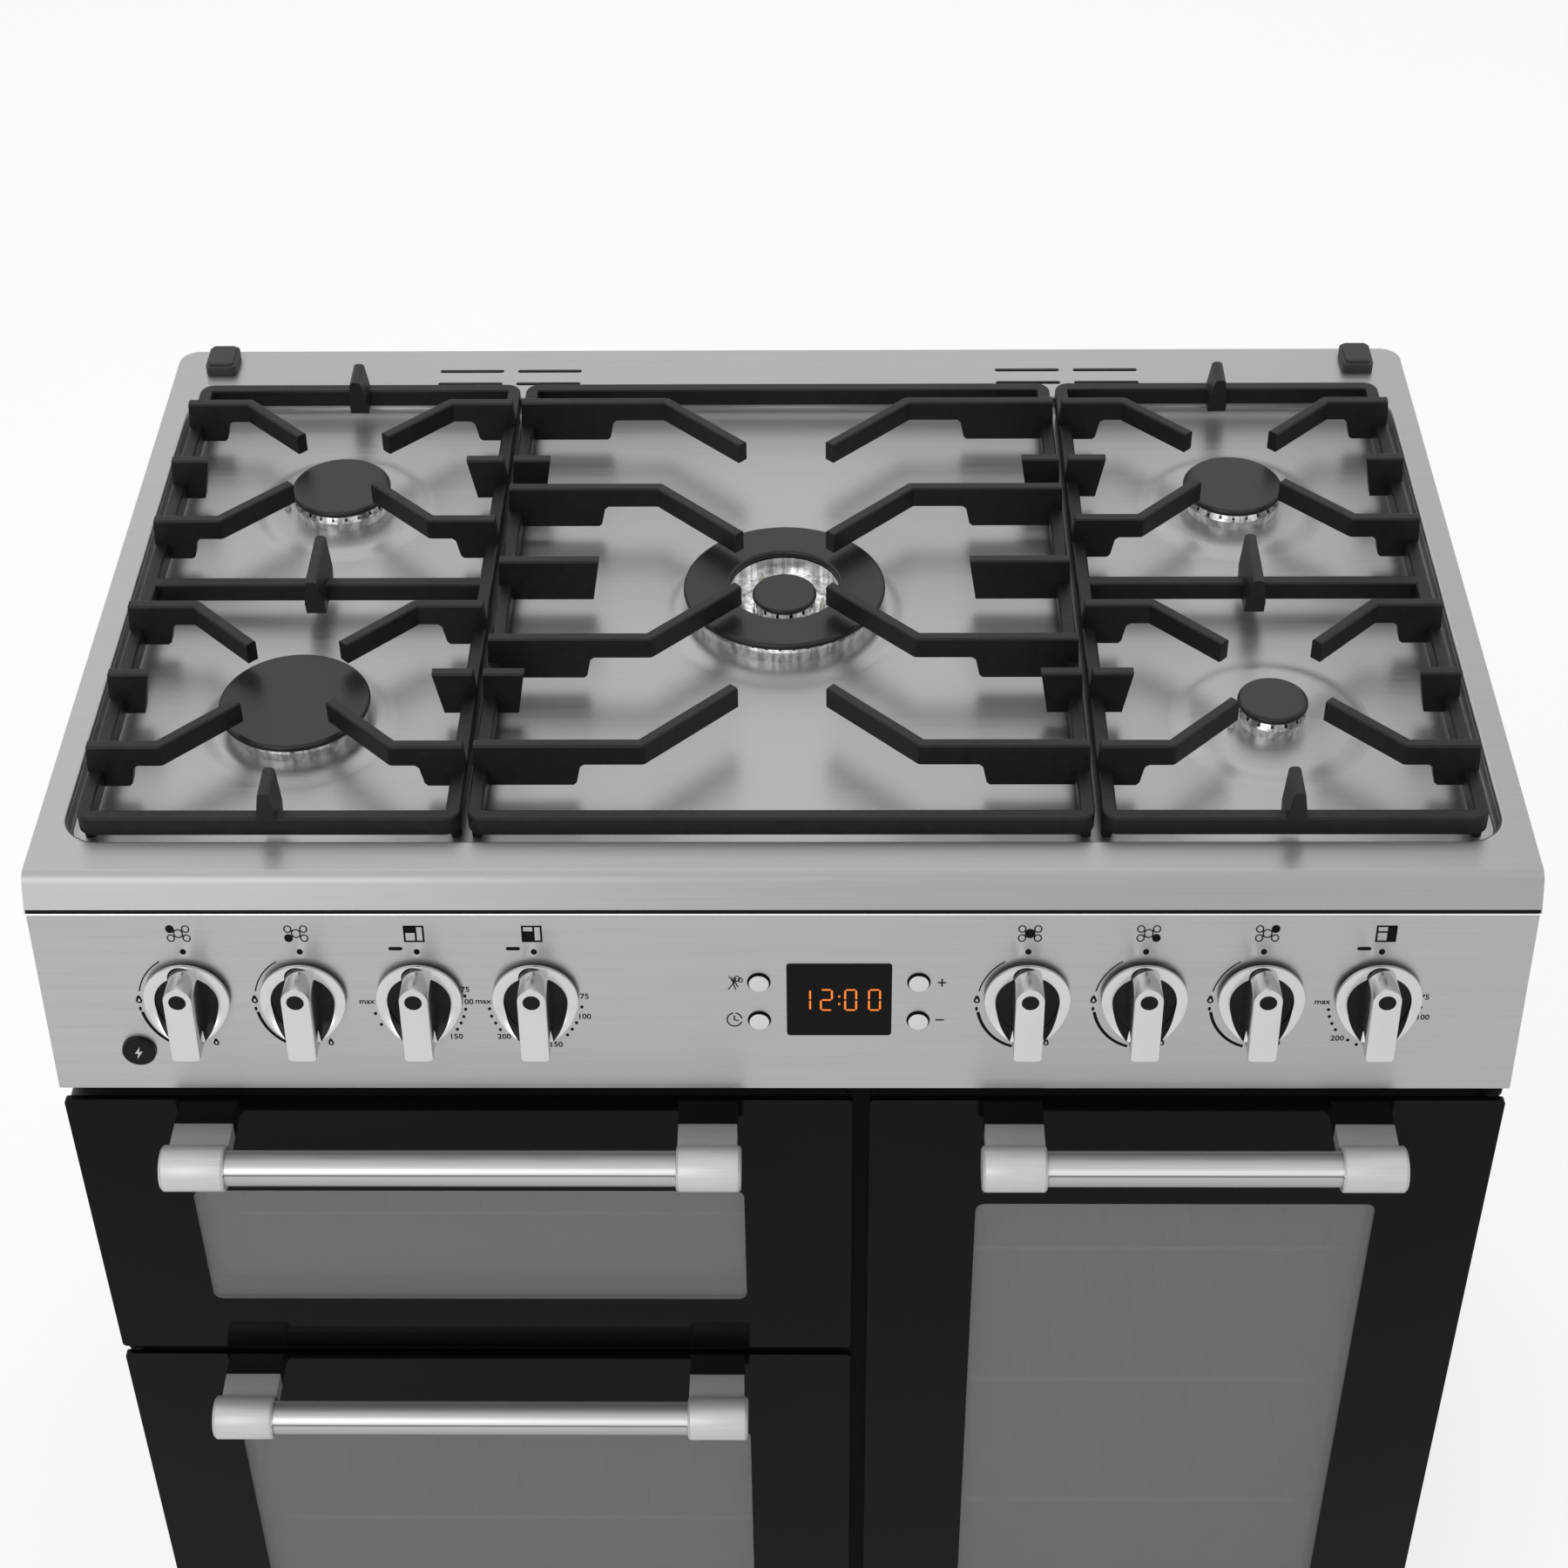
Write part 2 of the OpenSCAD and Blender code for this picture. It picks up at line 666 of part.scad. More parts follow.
// Hub plate, blades and shaft of a circulation fan, shaft towards +Y
module fan(c) {
    fan_w = 20;
    fan_lift = 8;
    blades = 12;
    color("silver") translate(fan_centre(c)) rotate([90, 0, 0]) union() {
        translate([0, 0, fan_lift]) cylinder(r = fan_r, h = 1.5);
        for (i = [0:blades - 1]) rotate(i * 360 / blades)
            translate([fan_r - 22, -0.75, fan_lift + 1]) rotate([0, 0, 18]) cube([20, 1.5, fan_w - 1]);
        translate([0, 0, -fan_shaft_back]) cylinder(r = fan_shaft_r, h = fan_shaft_back + fan_lift + 12);
    }
}

module main_fan() {
    fan(MAIN_CAVITY);
}

module tall_fan() {
    fan(TALL_CAVITY);
}

module fan_motors() {
    motor_r = 32;
    foot_l = 90;
    foot_w = 16;
    color("gray") for (c = [MAIN_CAVITY, TALL_CAVITY]) translate(fan_centre(c)) rotate([-90, 0, 0])
        difference() {
            union() {
                translate([0, 0, casing_t]) cylinder(r = motor_r, h = motor_l);
                translate([-foot_l / 2, -foot_w / 2, casing_t]) cube([foot_l, foot_w, 3]);
            }
            translate([0, 0, -1]) cylinder(r = fan_shaft_r + run_gap, h = fan_shaft_back + 4);
        }
}

// Pressed cover over a fan: a ring of outlets at its edge and an intake in the middle
module fan_cover(c) {
    w = c[1] - c[0] - 2 * cover_margin;
    h = min(w, c[3] - c[2] - 2 * cover_margin);
    mid = fan_centre(c);
    box = [mid[0] - w / 2, mid[0] + w / 2, mid[2] - h / 2, mid[2] + h / 2];
    y0 = cavity_back - cover_depth;
    difference() {
        front_plate(box, y0, cover_depth, 16);
        front_plate(grown(box, -casing_t), y0 + casing_t, cover_depth, 16 - casing_t);
        for (i = [0:15]) translate([mid[0], y0 - 1, mid[2]]) rotate([-90, 0, 0]) rotate(i * 22.5)
            translate([34, 0, 0]) cylinder(r = 5, h = 4, $fn = 24);
        for (i = [0:7]) translate([mid[0], y0 - 1, mid[2]]) rotate([-90, 0, 0]) rotate(i * 45)
            translate([18, 0, 0]) cylinder(r = 5, h = 4, $fn = 24);
        for (sx = [-1, 1], k = [-2:2])
            translate([mid[0] + sx * (w / 2 - 20), y0 - 1, mid[2] + k * 30]) rotate([-90, 0, 0])
                linear_extrude(4) rounded_rect(8, 22, 4 - EPS);
    }
}

module fan_covers() {
    color("darkslategray") for (c = [MAIN_CAVITY, TALL_CAVITY]) fan_cover(c);
}

// Side view of the hob's outline: flat top, rounded front edge, leaning lip
module hob_section(inset) {
    lean = atan2(lip_lead, lip_drop);
    tangent = front_edge_r * tan((90 - lean) / 2);
    r = front_edge_r - inset;
    lap = 0.02;
    past = inset > 0 ? 1 : 0;
    foot_x = -lip_lead + (inset + lap) / cos(lean) - past * tan(lean);
    foot_z = -lip_drop - past;
    turn = [tangent - cos(lean) * (r - lap), -front_edge_r + sin(lean) * (r - lap)];
    union() {
        polygon([[tangent, -inset], [hob_depth - inset, -inset], [hob_depth - inset, foot_z],
            [foot_x, foot_z], turn, [tangent, -front_edge_r]]);
        translate([tangent, -front_edge_r]) circle(r);
    }
}

// Plan of the hob: square front corners under the lip, rounded rear corners
module hob_plan(inset) {
    w = width - 2 * inset;
    r = rear_corner_r;
    ahead = 2 * lip_lead;
    union() {
        translate([-w / 2, -ahead]) square([w, ahead + hob_depth - r]);
        translate([-width / 2 + r, 0]) square([width - 2 * r, hob_depth - inset]);
        for (sx = [-1, 1]) translate([sx * (width / 2 - r), hob_depth - r]) circle(r - inset);
    }
}

module hob_prism(inset) {
    intersection() {
        translate([0, hob_y, rim_height]) rotate([90, 0, 90])
            linear_extrude(width - 2 * inset, center = true) hob_section(inset);
        translate([0, hob_y, rim_height - 2 * lip_drop]) linear_extrude(3 * lip_drop) hob_plan(inset);
    }
}

// A pressed seat round a burner: its shoulder is two equal arcs
module burner_seat(r) {
    run = 7;
    arc = (4 * run * run + seat_rise * seat_rise) / (4 * seat_rise);
    rotate_extrude() union() {
        translate([0, -1]) square([r - 2 * run, seat_rise + 1]);
        intersection() {
            translate([r - 2 * run, -1]) square([run, seat_rise + 2]);
            translate([r - 2 * run, seat_rise - arc]) circle(arc);
        }
        difference() {
            translate([r - run, -1]) square([run, seat_rise / 2 + 1]);
            translate([r, arc]) circle(arc);
        }
    }
}

tray_w = width - 2 * tray_side;
tray_l = hob_depth - tray_front - tray_back;
tray_mid_y = hob_y + tray_front + tray_l / 2;

vent_outer = 218;
vent_inner = 275;

module hob_top() {
    color("silver") difference() {
        union() {
            difference() {
                hob_prism(0);
                hob_prism(hob_t);
            }
            translate([0, tray_mid_y, tray_floor - hob_t]) linear_extrude(tray_depth + hob_t - EPS)
                rounded_rect(tray_w + 2 * hob_t, tray_l + 2 * hob_t, tray_corner_r + hob_t);
        }
        difference() {
            translate([0, tray_mid_y, tray_floor]) linear_extrude(tray_depth + 1)
                rounded_rect(tray_w, tray_l, tray_corner_r);
            translate([0, tray_mid_y, tray_floor]) sweep_rect(tray_w, tray_l, tray_corner_r) difference() {
                translate([-tray_fillet, -1]) square([tray_fillet + 1, tray_fillet + 1]);
                translate([-tray_fillet, tray_fillet]) circle(tray_fillet);
            }
            for (b = BURNERS) at_burner(b, tray_floor) burner_seat(b[5]);
        }
        translate([0, tray_mid_y, rim_height]) sweep_rect(tray_w, tray_l, tray_corner_r) difference() {
            translate([-1, -tray_edge_r]) square([tray_edge_r + 1, tray_edge_r + 1]);
            translate([tray_edge_r, -tray_edge_r]) circle(tray_edge_r);
        }
        for (b = BURNERS) at_burner(b, tray_floor - hob_t - 1) cylinder(r = b[4], h = 10);
        for (p = SIDE_PINS) at_pin(p, tray_floor - hob_t - 1) cylinder(r = pin_r + pin_gap, h = 10);
        for (sx = [-1, 1], x = [vent_outer, vent_inner], y = [28, 45])
            translate([sx * (width / 2 - x), back_y - y, hob_under - 1]) linear_extrude(hob_t + 2)
                rounded_rect(vent_slot_l, vent_slot_w, vent_slot_w / 2 - EPS);
    }
}

module rear_buffers() {
    chamfer = 2;
    color("black") for (sx = [-1, 1]) translate([sx * (width / 2 - 34), back_y - 20, rim_height]) union() {
        linear_extrude(buffer_h - chamfer) rounded_rect(buffer_w, buffer_d, 4);
        translate([0, 0, buffer_h - chamfer - EPS]) linear_extrude(chamfer + EPS)
            rounded_rect(buffer_w - 2 * chamfer, buffer_d - 2 * chamfer, 3);
    }
}

module burner_bodies() {
    color("silver") for (b = BURNERS) at_burner(b, 0) difference() {
        union() {
            translate([0, 0, tray_floor - hob_t - flange_t]) cylinder(r = b[4] + 6, h = flange_t);
            translate([0, 0, tray_floor - hob_t - cup_drop])
                cylinder(r = b[4] - seat_gap, h = cup_drop + hob_t + seat_rise);
        }
        translate([0, 0, tray_floor - hob_t - cup_drop + 3]) cylinder(r = b[4] - 4, h = cup_drop + 20);
    }
}

function port_count(r) = floor(2 * PI * r / port_pitch);

port_w = 2;
port_h = 3;

// Flame ports: short slots round a head's top edge
module ports(r, h) {
    count = port_count(r);
    for (i = [0:count - 1]) rotate(i * 360 / count) translate([r - 5, -port_w / 2, h - port_h])
        cube([6, port_w, port_h + 1]);
}

// A burner head: drum with its ring of flame ports and a spigot that drops into the cup
module burner_head(r, cup_r, h) {
    crown = 1.5;
    lip = 4.5;
    flare = 2;
    spigot = cup_r - 4 - seat_gap;
    difference() {
        union() {
            cylinder(r1 = r - flare, r2 = r, h = h - lip);
            translate([0, 0, h - lip - EPS]) cylinder(r1 = r, r2 = r - flare, h = lip + EPS);
            translate([0, 0, -8]) cylinder(r = spigot, h = 8 + EPS);
        }
        translate([0, 0, -9]) cylinder(r = spigot - 3, h = 9 + h - crown);
        ports(r, h);
    }
}

wok_floor = 3;
wok_head_h = head_h + 1.5;
wok_inner_h = head_h - 4;

// The wok burner's head: an outer ring and an inner drum that stand on one floor
module wok_head(r, cup_r) {
    spigot = cup_r - 4 - seat_gap;
    inner_r = wok_inner_d / 2 - 1;
    union() {
        difference() {
            burner_head(r, cup_r, wok_head_h);
            translate([0, 0, -EPS]) cylinder(r = wok_hole_d / 2, h = wok_head_h + 1);
        }
        difference() {
            cylinder(r = wok_hole_d / 2 + EPS, h = wok_floor);
            for (p = WOK_PINS) rotate(p[1]) translate([p[2], 0, -1])
                cylinder(r = pin_r + pin_gap, h = 2 * wok_floor);
        }
        difference() {
            translate([0, 0, -8]) cylinder(r = spigot, h = 8 + EPS);
            translate([0, 0, -9]) cylinder(r = spigot - 3, h = 9);
        }
        difference() {
            translate([0, 0, wok_floor - EPS]) cylinder(r = inner_r, h = wok_inner_h - wok_floor + EPS);
            ports(inner_r, wok_inner_h);
        }
    }
}

module burner_heads() {
    color("lightgray") {
        for (b = SIDE_BURNERS) at_burner(b, burner_seat_z) burner_head(b[3], b[4], head_h);
        at_burner(WOK, burner_seat_z) wok_head(WOK[3], WOK[4]);
    }
}

// A cap with a rounded edge
module burner_cap(r, t) {
    rotate_extrude() union() {
        square([r - t / 2, t]);
        translate([r - t / 2, t / 2]) circle(t / 2);
    }
}

module burner_caps() {
    color("black") {
        for (b = SIDE_BURNERS) at_burner(b, burner_seat_z + head_h) burner_cap(b[2], cap_t);
        at_burner(WOK, burner_seat_z + wok_head_h) rotate_extrude() union() {
            translate([wok_hole_d / 2 + cap_t / 2, 0]) square([WOK[2] - wok_hole_d / 2 - cap_t, cap_t]);
            for (r = [wok_hole_d / 2 + cap_t / 2, WOK[2] - cap_t / 2])
                translate([r, cap_t / 2]) circle(cap_t / 2);
        }
        at_burner(WOK, burner_seat_z + wok_inner_h) burner_cap(wok_inner_d / 2, cap_t - 1);
    }
}

// A ceramic pin with its metal tip, from a height z up
module ceramic_pin(z, body) {
    tip_r = 0.9;
    translate([0, 0, z]) cylinder(r = pin_r, h = body);
    translate([0, 0, z + body - EPS]) cylinder(r = tip_r, h = 4);
}

// A spark electrode and a flame sensor at each burner
module igniters() {
    collar = 2;
    sheet_z = tray_floor - hob_t;
    wok_z = sheet_z - cup_drop + 3;
    color("white") {
        for (p = SIDE_PINS) at_pin(p, 0) {
            ceramic_pin(sheet_z - pin_foot, pin_foot + hob_t + seat_rise + 4);
            translate([0, 0, sheet_z - 3]) cylinder(r = pin_r + collar, h = 3);
        }
        for (p = WOK_PINS) at_pin(p, 0) ceramic_pin(wok_z, burner_seat_z + wok_floor + 6 - wok_z);
    }
}

// Section of a cast bar or finger, rounded at its top edges
module bar_section(w, low, top) {
    r = 1.5;
    union() {
        translate([-w / 2, low]) square([w, top - r - low]);
        translate([-w / 2 + r, low]) square([w - 2 * r, top - low]);
        for (s = [-1, 1]) translate([s * (w / 2 - r), top - r]) circle(r);
    }
}

// A straight bar along X from x = 0
module cast_bar(len, w, low, top) {
    rotate([90, 0, 90]) linear_extrude(len) bar_section(w, low, top);
}

// A support's frame, which stands on four feet
module bar_ring(x0, x1, y0, y1) {
    corner_r = 10;
    foot = 3.5;
    translate([(x0 + x1) / 2, hob_y + (y0 + y1) / 2, 0]) union() {
        sweep_rect(x1 - x0, y1 - y0, corner_r) translate([-bar_w / 2, 0]) bar_section(bar_w, web_z, bar_top);
        for (sx = [-1, 1], sy = [-1, 1])
            translate([sx * (x1 - x0 - bar_w) / 2, sy * ((y1 - y0) / 2 - corner_r - foot), support_z])
                cylinder(r = foot, h = web_z - support_z + 2);
    }
}

module upright(t) {
    rotate([90, 0, 0]) linear_extrude(t, center = true) children();
}

// A web along X with rounded top edges, from its side outline
module cast_web(len) {
    intersection() {
        upright(finger_t + 4) children();
        translate([-1, 0, 0]) rotate([90, 0, 90]) linear_extrude(len + 2)
            bar_section(finger_t, web_z - 1, finger_top);
    }
}

// A bent finger's root: x is the distance from the bar's outer side, and the web under it is stepped
module root_outline(web, reach) {
    step_w = 4;
    ease = 2;
    polygon([[0, bar_top - 2], [1.5, finger_top + 1], [reach, finger_top + 1], [reach, finger_under],
        [web + step_w + ease, finger_under], [web + step_w - 0.5, finger_under - ease],
        [web + 1, web_z + ease], [web - 1, web_z], [1, web_z]]);
}

// A finger that leaves a side bar towards +X and bends 45 degrees towards the burner
module bent_finger(reach, diag, web) {
    half = finger_t / 2;
    knee = half - 0.02;
    union() {
        cast_web(reach) root_outline(web, reach);
        translate([reach, 0, 0]) rotate_extrude() intersection() {
            bar_section(2 * knee, finger_under, finger_top);
            translate([0, finger_under - 1]) square([finger_t, finger_h + 2]);
        }
        translate([reach, 0, 0]) rotate(45) cast_bar(sqrt(2) * diag, finger_t, finger_under, finger_top);
    }
}

module stub(foot, head) {
    cast_web(head) polygon([[0, bar_top - 2], [1.5, finger_top + 1], [head, finger_top + 1], [foot, web_z],
        [1, web_z]]);
}

// A stub whose sides slope from a narrow top to a wide foot
module flared_stub(foot, head) {
    top_w = 6;
    foot_w = 13;
    edge = 1.2;
    x = top_w / 2;
    intersection() {
        upright(foot_w + 2) polygon([[0, bar_top - 2], [1.5, finger_top + 1], [head, finger_top + 1],
            [foot, web_z], [1, web_z]]);
        translate([-1, 0, 0]) rotate([90, 0, 90]) linear_extrude(head + 2) polygon([
            [-foot_w / 2, web_z - 1], [foot_w / 2, web_z - 1], [foot_w / 2, bar_top - 3],
            [x + edge / 2, finger_top - edge], [x - edge, finger_top], [edge - x, finger_top],
            [-x - edge / 2, finger_top - edge], [-foot_w / 2, bar_top - 3]]);
    }
}

// Places children at a side bar: x points from the bar's outer side into the support
module from_bar(x, dist, flip) {
    translate([x, hob_y + dist, 0]) mirror([flip ? 1 : 0, 0, 0]) children();
}

module side_support() {
    x0 = -side_outer;
    x1 = -side_inner;
    mid = (support_front + support_rear) / 2;
    stub_long = 27;
    side_web = 25;
    root_l = -burner_x - bend_reach - x0;
    root_r = x1 - (-burner_x + bend_reach);
    diag = bend_reach - tip_reach;
    union() {
        bar_ring(x0, x1, support_front, support_rear);
        translate([x0 + bar_w / 2, hob_y + mid, 0]) cast_bar(x1 - x0 - bar_w, bar_w, web_z, bar_top);
        for (dist = [burner_front, burner_rear]) {
            for (up = [-1, 1]) {
                turn = [0, up > 0 ? 1 : 0, 0];
                from_bar(x0, dist + up * bend_reach, false) mirror(turn) bent_finger(root_l, diag, side_web);
                from_bar(x1, dist + up * bend_reach, true) mirror(turn) bent_finger(root_r, diag, side_web);
            }
            from_bar(x0, dist, false) stub(stub_long - 6, stub_long);
            from_bar(x1, dist, true) stub(stub_long - 6, stub_long);
        }
        translate([-burner_x, hob_y + support_front, 0]) rotate(90) flared_stub(stub_long - 8, stub_long);
        translate([-burner_x, hob_y + support_rear, 0]) rotate(-90) flared_stub(stub_long - 8, stub_long);
        for (turn = [90, -90]) translate([-burner_x, hob_y + mid, 0]) rotate(turn)
            translate([-bar_w / 2, 0, 0]) flared_stub(stub_long - 4, stub_long + 4);
    }
}

module pan_support_left() {
    color("black") side_support();
}

module pan_support_right() {
    color("black") mirror([1, 0, 0]) side_support();
}

module pan_support_centre() {
    x0 = -centre_half;
    mid = (support_front + support_rear) / 2;
    root = centre_half - wok_bend;
    diag = wok_bend - wok_tip;
    near = 83.5;
    far = 189.5;
    web = 62;
    color("black") union() {
        bar_ring(x0, centre_half, support_front, support_rear);
        for (flip = [0, 1]) mirror([flip, 0, 0]) {
            for (off = [near, far], up = [0, 1])
                from_bar(x0, wok_dist + (2 * up - 1) * off, false)
                    mirror([0, up, 0]) bent_finger(root, diag, web);
            for (dist = [burner_front, burner_rear]) from_bar(x0, dist, false) stub(22, 27);
            from_bar(x0, mid, false) stub(web, web + 5);
        }
    }
}

module panel_section(inset, open) {
    back = inset / cos(panel_lean);
    slip = inset * tan(panel_lean);
    polygon([
        [panel_top_y + back - slip, panel_top_z - inset], [frame_y + open, panel_top_z - inset],
        [frame_y + open, panel_foot_z + inset], [panel_foot_y + back + slip, panel_foot_z + inset]]);
}

panel_lip = 14;
spark_x = 55 - width / 2;
spark_drop = 102.8;
button_left = -13.5;
button_right = 83;
button_high = 50;
button_low = 79.5;
TIMER_BUTTONS = [[button_left, button_high], [button_left, button_low],
    [button_right, button_high], [button_right, button_low]];
window_drop = 63.5;
button_gap = 0.3;

module panel_hole(r) {
    translate([0, 0, -5]) cylinder(r = r, h = 10);
}

module control_panel() {
    color("silver") difference() {
        rotate([90, 0, 90]) linear_extrude(panel_w, center = true) panel_section(0, 0);
        rotate([90, 0, 90]) linear_extrude(panel_w - 2 * panel_t, center = true) panel_section(panel_t, 10);
        cuboid(-panel_w, panel_w, panel_top_y + panel_lip, liner_y,
            panel_top_z - panel_t - 1, panel_top_z + 1);
        for (x = KNOB_X) on_panel(x, knob_drop) panel_hole(spindle_r + 1.5);
        for (p = TIMER_BUTTONS) on_panel(p[0], p[1]) panel_hole(timer_button_r + button_gap);
        on_panel(spark_x, spark_drop) panel_hole(spark_button_r + button_gap);
        on_panel(window_x, window_drop) translate([0, 0, -5]) linear_extrude(10)
            rounded_rect(window_w + 2 * seat_gap, window_h + 2 * seat_gap, 2);
    }
}

module timer_window() {
    proud = 0.6;
    color("black") on_panel(window_x, window_drop) translate([0, 0, -panel_t])
        linear_extrude(panel_t + proud) rounded_rect(window_w, window_h, 2);
}

module timer_module() {
    depth = 30;
    margin = 12;
    face_h = 66;
    pocket = 9;
    color("gray") difference() {
        on_panel(window_x, window_drop + 2) translate([0, 0, -panel_t - depth / 2])
            cube([button_right - button_left + 2 * margin, face_h, depth], center = true);
        for (p = TIMER_BUTTONS) on_panel(p[0], p[1]) translate([0, 0, -pocket - panel_t])
            cylinder(r = timer_button_r + button_gap, h = pocket + 2);
    }
}

button_proud = 3.5;

module push_button(r, back) {
    dome = 0.8;
    union() {
        translate([0, 0, -back]) cylinder(r = r, h = back + button_proud - dome);
        translate([0, 0, button_proud - dome - EPS]) cylinder(r1 = r, r2 = r - dome, h = dome);
    }
}

module timer_button(i) {
    color("silver") on_panel(TIMER_BUTTONS[i][0], TIMER_BUTTONS[i][1]) push_button(timer_button_r, 6);
}

module ignition_button() {
    color("black") on_panel(spark_x, spark_drop) push_button(spark_button_r, 8);
}

module oven_controls() {
    body_r = 20;
    body_l = 32;
    color("gray") for (i = [2, 3, 7]) on_panel(KNOB_X[i], knob_drop) union() {
        translate([0, 0, -panel_t - body_l]) cylinder(r = body_r, h = body_l);
        translate([0, 0, -panel_t - EPS]) cylinder(r = spindle_r, h = panel_t + spindle_out);
    }
}

module spindle(i) {
    color("dimgray") on_panel(KNOB_X[i], knob_drop) translate([0, 0, -tap_back + 12])
        cylinder(r = spindle_r, h = tap_back - 12 + spindle_out);
}

module gas_taps() {
    body_r = 13;
    outlet_l = 26;
    color("goldenrod") for (i = [0, 1, 4, 5, 6]) on_panel(KNOB_X[i], knob_drop) difference() {
        union() {
            translate([0, 0, -tap_back]) cylinder(r = body_r, h = tap_back - tap_front);
            translate([0, 0, -tap_back + 14]) rotate([-90, 0, 0]) cylinder(r = 6, h = outlet_l);
            translate([-body_r, -3, -manifold_z]) cube([2 * body_r, 6, manifold_z - tap_back + 4]);
        }
        translate([0, 0, -tap_back + 8]) cylinder(r = spindle_r + run_gap, h = tap_back);
        translate([0, 0, -manifold_z]) rotate([0, 90, 0])
            cylinder(r = manifold_r + seat_gap / 2, h = 60, center = true);
    }
}

// Gas rail behind the taps, its two straps down to the front frame, and the pipe to the rear inlet
module gas_manifold() {
    strap_x = knob_inner_x + 1.5 * knob_pitch;
    strap_w = 20;
    strap_t = 2;
    elbow = 11;
    rail_x = KNOB_X[0] - 20;
    y = manifold_at[1];
    z = manifold_at[2];
    color("silver") union() {
        translate([rail_x, y, z]) rotate([0, 90, 0])
            cylinder(r = manifold_r, h = gas_x - elbow + 1 - rail_x);
        cuboid(gas_x - elbow, gas_x + elbow, y - elbow, y + elbow, z - elbow, z + elbow);
        translate([gas_x, y + elbow - 1, z]) rotate([-90, 0, 0])
            cylinder(r = manifold_r, h = casing_back - 14 - y - elbow + 2);
        translate([gas_x, casing_back - 14, z]) rotate([-90, 0, 0]) cylinder(r = inlet_r, h = 18);
        for (x = [-strap_x, strap_x]) {
            cuboid(x - strap_w / 2, x + strap_w / 2, liner_y, y - 2, z - 1, z - 1 + strap_t);
            cuboid(x - strap_w / 2, x + strap_w / 2, liner_y, liner_y + strap_t, panel_foot_z, z);
        }
    }
}

module mains_box() {
    wall = 2;
    half_w = 60;
    half_h = 40;
    depth = 45;
    y1 = casing_back - casing_t;
    color("gray") difference() {
        cuboid(box_x - half_w, box_x + half_w, y1 - depth, y1, box_z - half_h, box_z + half_h);
        cuboid(box_x - half_w + wall, box_x + half_w - wall, y1 - depth + wall, y1 - wall,
            box_z - half_h + wall, box_z + half_h - wall);
        translate([box_x, y1 - 5, box_z]) rotate([-90, 0, 0]) cylinder(r = cable_r, h = 10);
    }
}

// Plan of a knob's grip bar: round pointer end up, square heel with rounded corners down
module grip_plan() {
    heel_r = 3;
    union() {
        translate([-grip_w / 2, -grip_down + heel_r])
            square([grip_w, grip_down + grip_up - heel_r - grip_w / 2]);
        translate([-grip_w / 2 + heel_r, -grip_down]) square([grip_w - 2 * heel_r, grip_down]);
        for (sx = [-1, 1]) translate([sx * (grip_w / 2 - heel_r), -grip_down + heel_r]) circle(heel_r);
        translate([0, grip_up - grip_w / 2]) circle(grip_w / 2);
    }
}

// Everything above the skirt's face, which is flat at the pointer end and sweeps up to the heel in an arc
module above_skirt(drop) {
    rise = skirt_high - skirt_low;
    run = knob_d / 2 + sweep_start;
    sweep_r = (run * run + rise * rise) / (2 * rise);
    lap = 0.3;
    translate([0, sweep_start, knob_gap + skirt_low - drop]) union() {
        translate([-knob_d, -lap, 0]) cube([2 * knob_d, knob_d, knob_d]);
        translate([-knob_d, 0, sweep_r]) rotate([0, 90, 0]) cylinder(r = sweep_r, h = 2 * knob_d);
    }
}

// A knob at rest: skirt with a swept face, sunk centre and a grip bar across it
module knob(i) {
    r = knob_d / 2;
    sink = 1.2;
    sink_shift = 1.2;
    heel_z = 10;
    color("silver") on_panel(KNOB_X[i], knob_drop) difference() {
        union() {
            difference() {
                translate([0, 0, knob_gap]) cylinder(r = r, h = skirt_high);
                above_skirt(0);
                intersection() {
                    above_skirt(sink);
                    translate([0, -sink_shift, 0]) cylinder(r = r - skirt_rim, h = grip_h);
                }
            }
            intersection() {
                translate([0, 0, knob_gap + 1]) linear_extrude(grip_h - knob_gap - 1) grip_plan();
                union() {
                    cylinder(r = r - 1, h = grip_h + 1);
                    translate([-knob_d, -knob_d, heel_z]) cube([2 * knob_d, 2 * knob_d, grip_h]);
                }
            }
        }
        translate([0, 0, knob_gap - 1]) cylinder(r = spindle_r + run_gap, h = knob_bore);
    }
}

pane_inset = 2;
inner_lap = 10;

function window_of(door, head) = [door[0] + window_side, door[1] - window_side,
    door[2] + window_foot, door[3] - head];
TOP_WINDOW = window_of(TOP_DOOR, window_top);
MAIN_WINDOW = window_of(MAIN_DOOR, window_top);
TALL_WINDOW = window_of(TALL_DOOR, window_top + 12);

// Outer pane and the inner pane behind the window
module door_glass(door, window) {
    color([0.05, 0.05, 0.06, 0.6]) {
        front_plate(door, glass_y, pane_t, 3);
        front_plate(grown(window, inner_lap), door_inner_y - casing_t - pane_t, pane_t, 3);
    }
}

// Folded steel tray that carries both panes, with solid corner blocks for the hinge pins
module door_tray(door, window) {
    box = grown(door, -pane_inset);
    difference() {
        front_plate(box, glass_y + pane_t, door_t - pane_t, 3);
        difference() {
            front_plate(grown(box, -casing_t), glass_y + pane_t - 1, door_t - pane_t - casing_t + 1, 2);
            children();
        }
        front_plate(window, door_inner_y - casing_t - 1, casing_t + 2, 6);
    }
}

module upright_block(x, z0, z1) {
    cuboid(x - 8, x + 8, glass_y + pane_t, door_inner_y - EPS, z0, z1);
}

module side_hung_tray(door, window, x) {
    bore_r = hinge_pin_r + run_gap;
    difference() {
        door_tray(door, window) {
            upright_block(x, door[2], door[2] + 18);
            upright_block(x, door[3] - 18, door[3]);
        }
        translate([x, hinge_y, door[2] - 1]) cylinder(r = bore_r, h = 15);
        translate([x, hinge_y, door[3] - 14]) cylinder(r = bore_r, h = 15);
    }
}

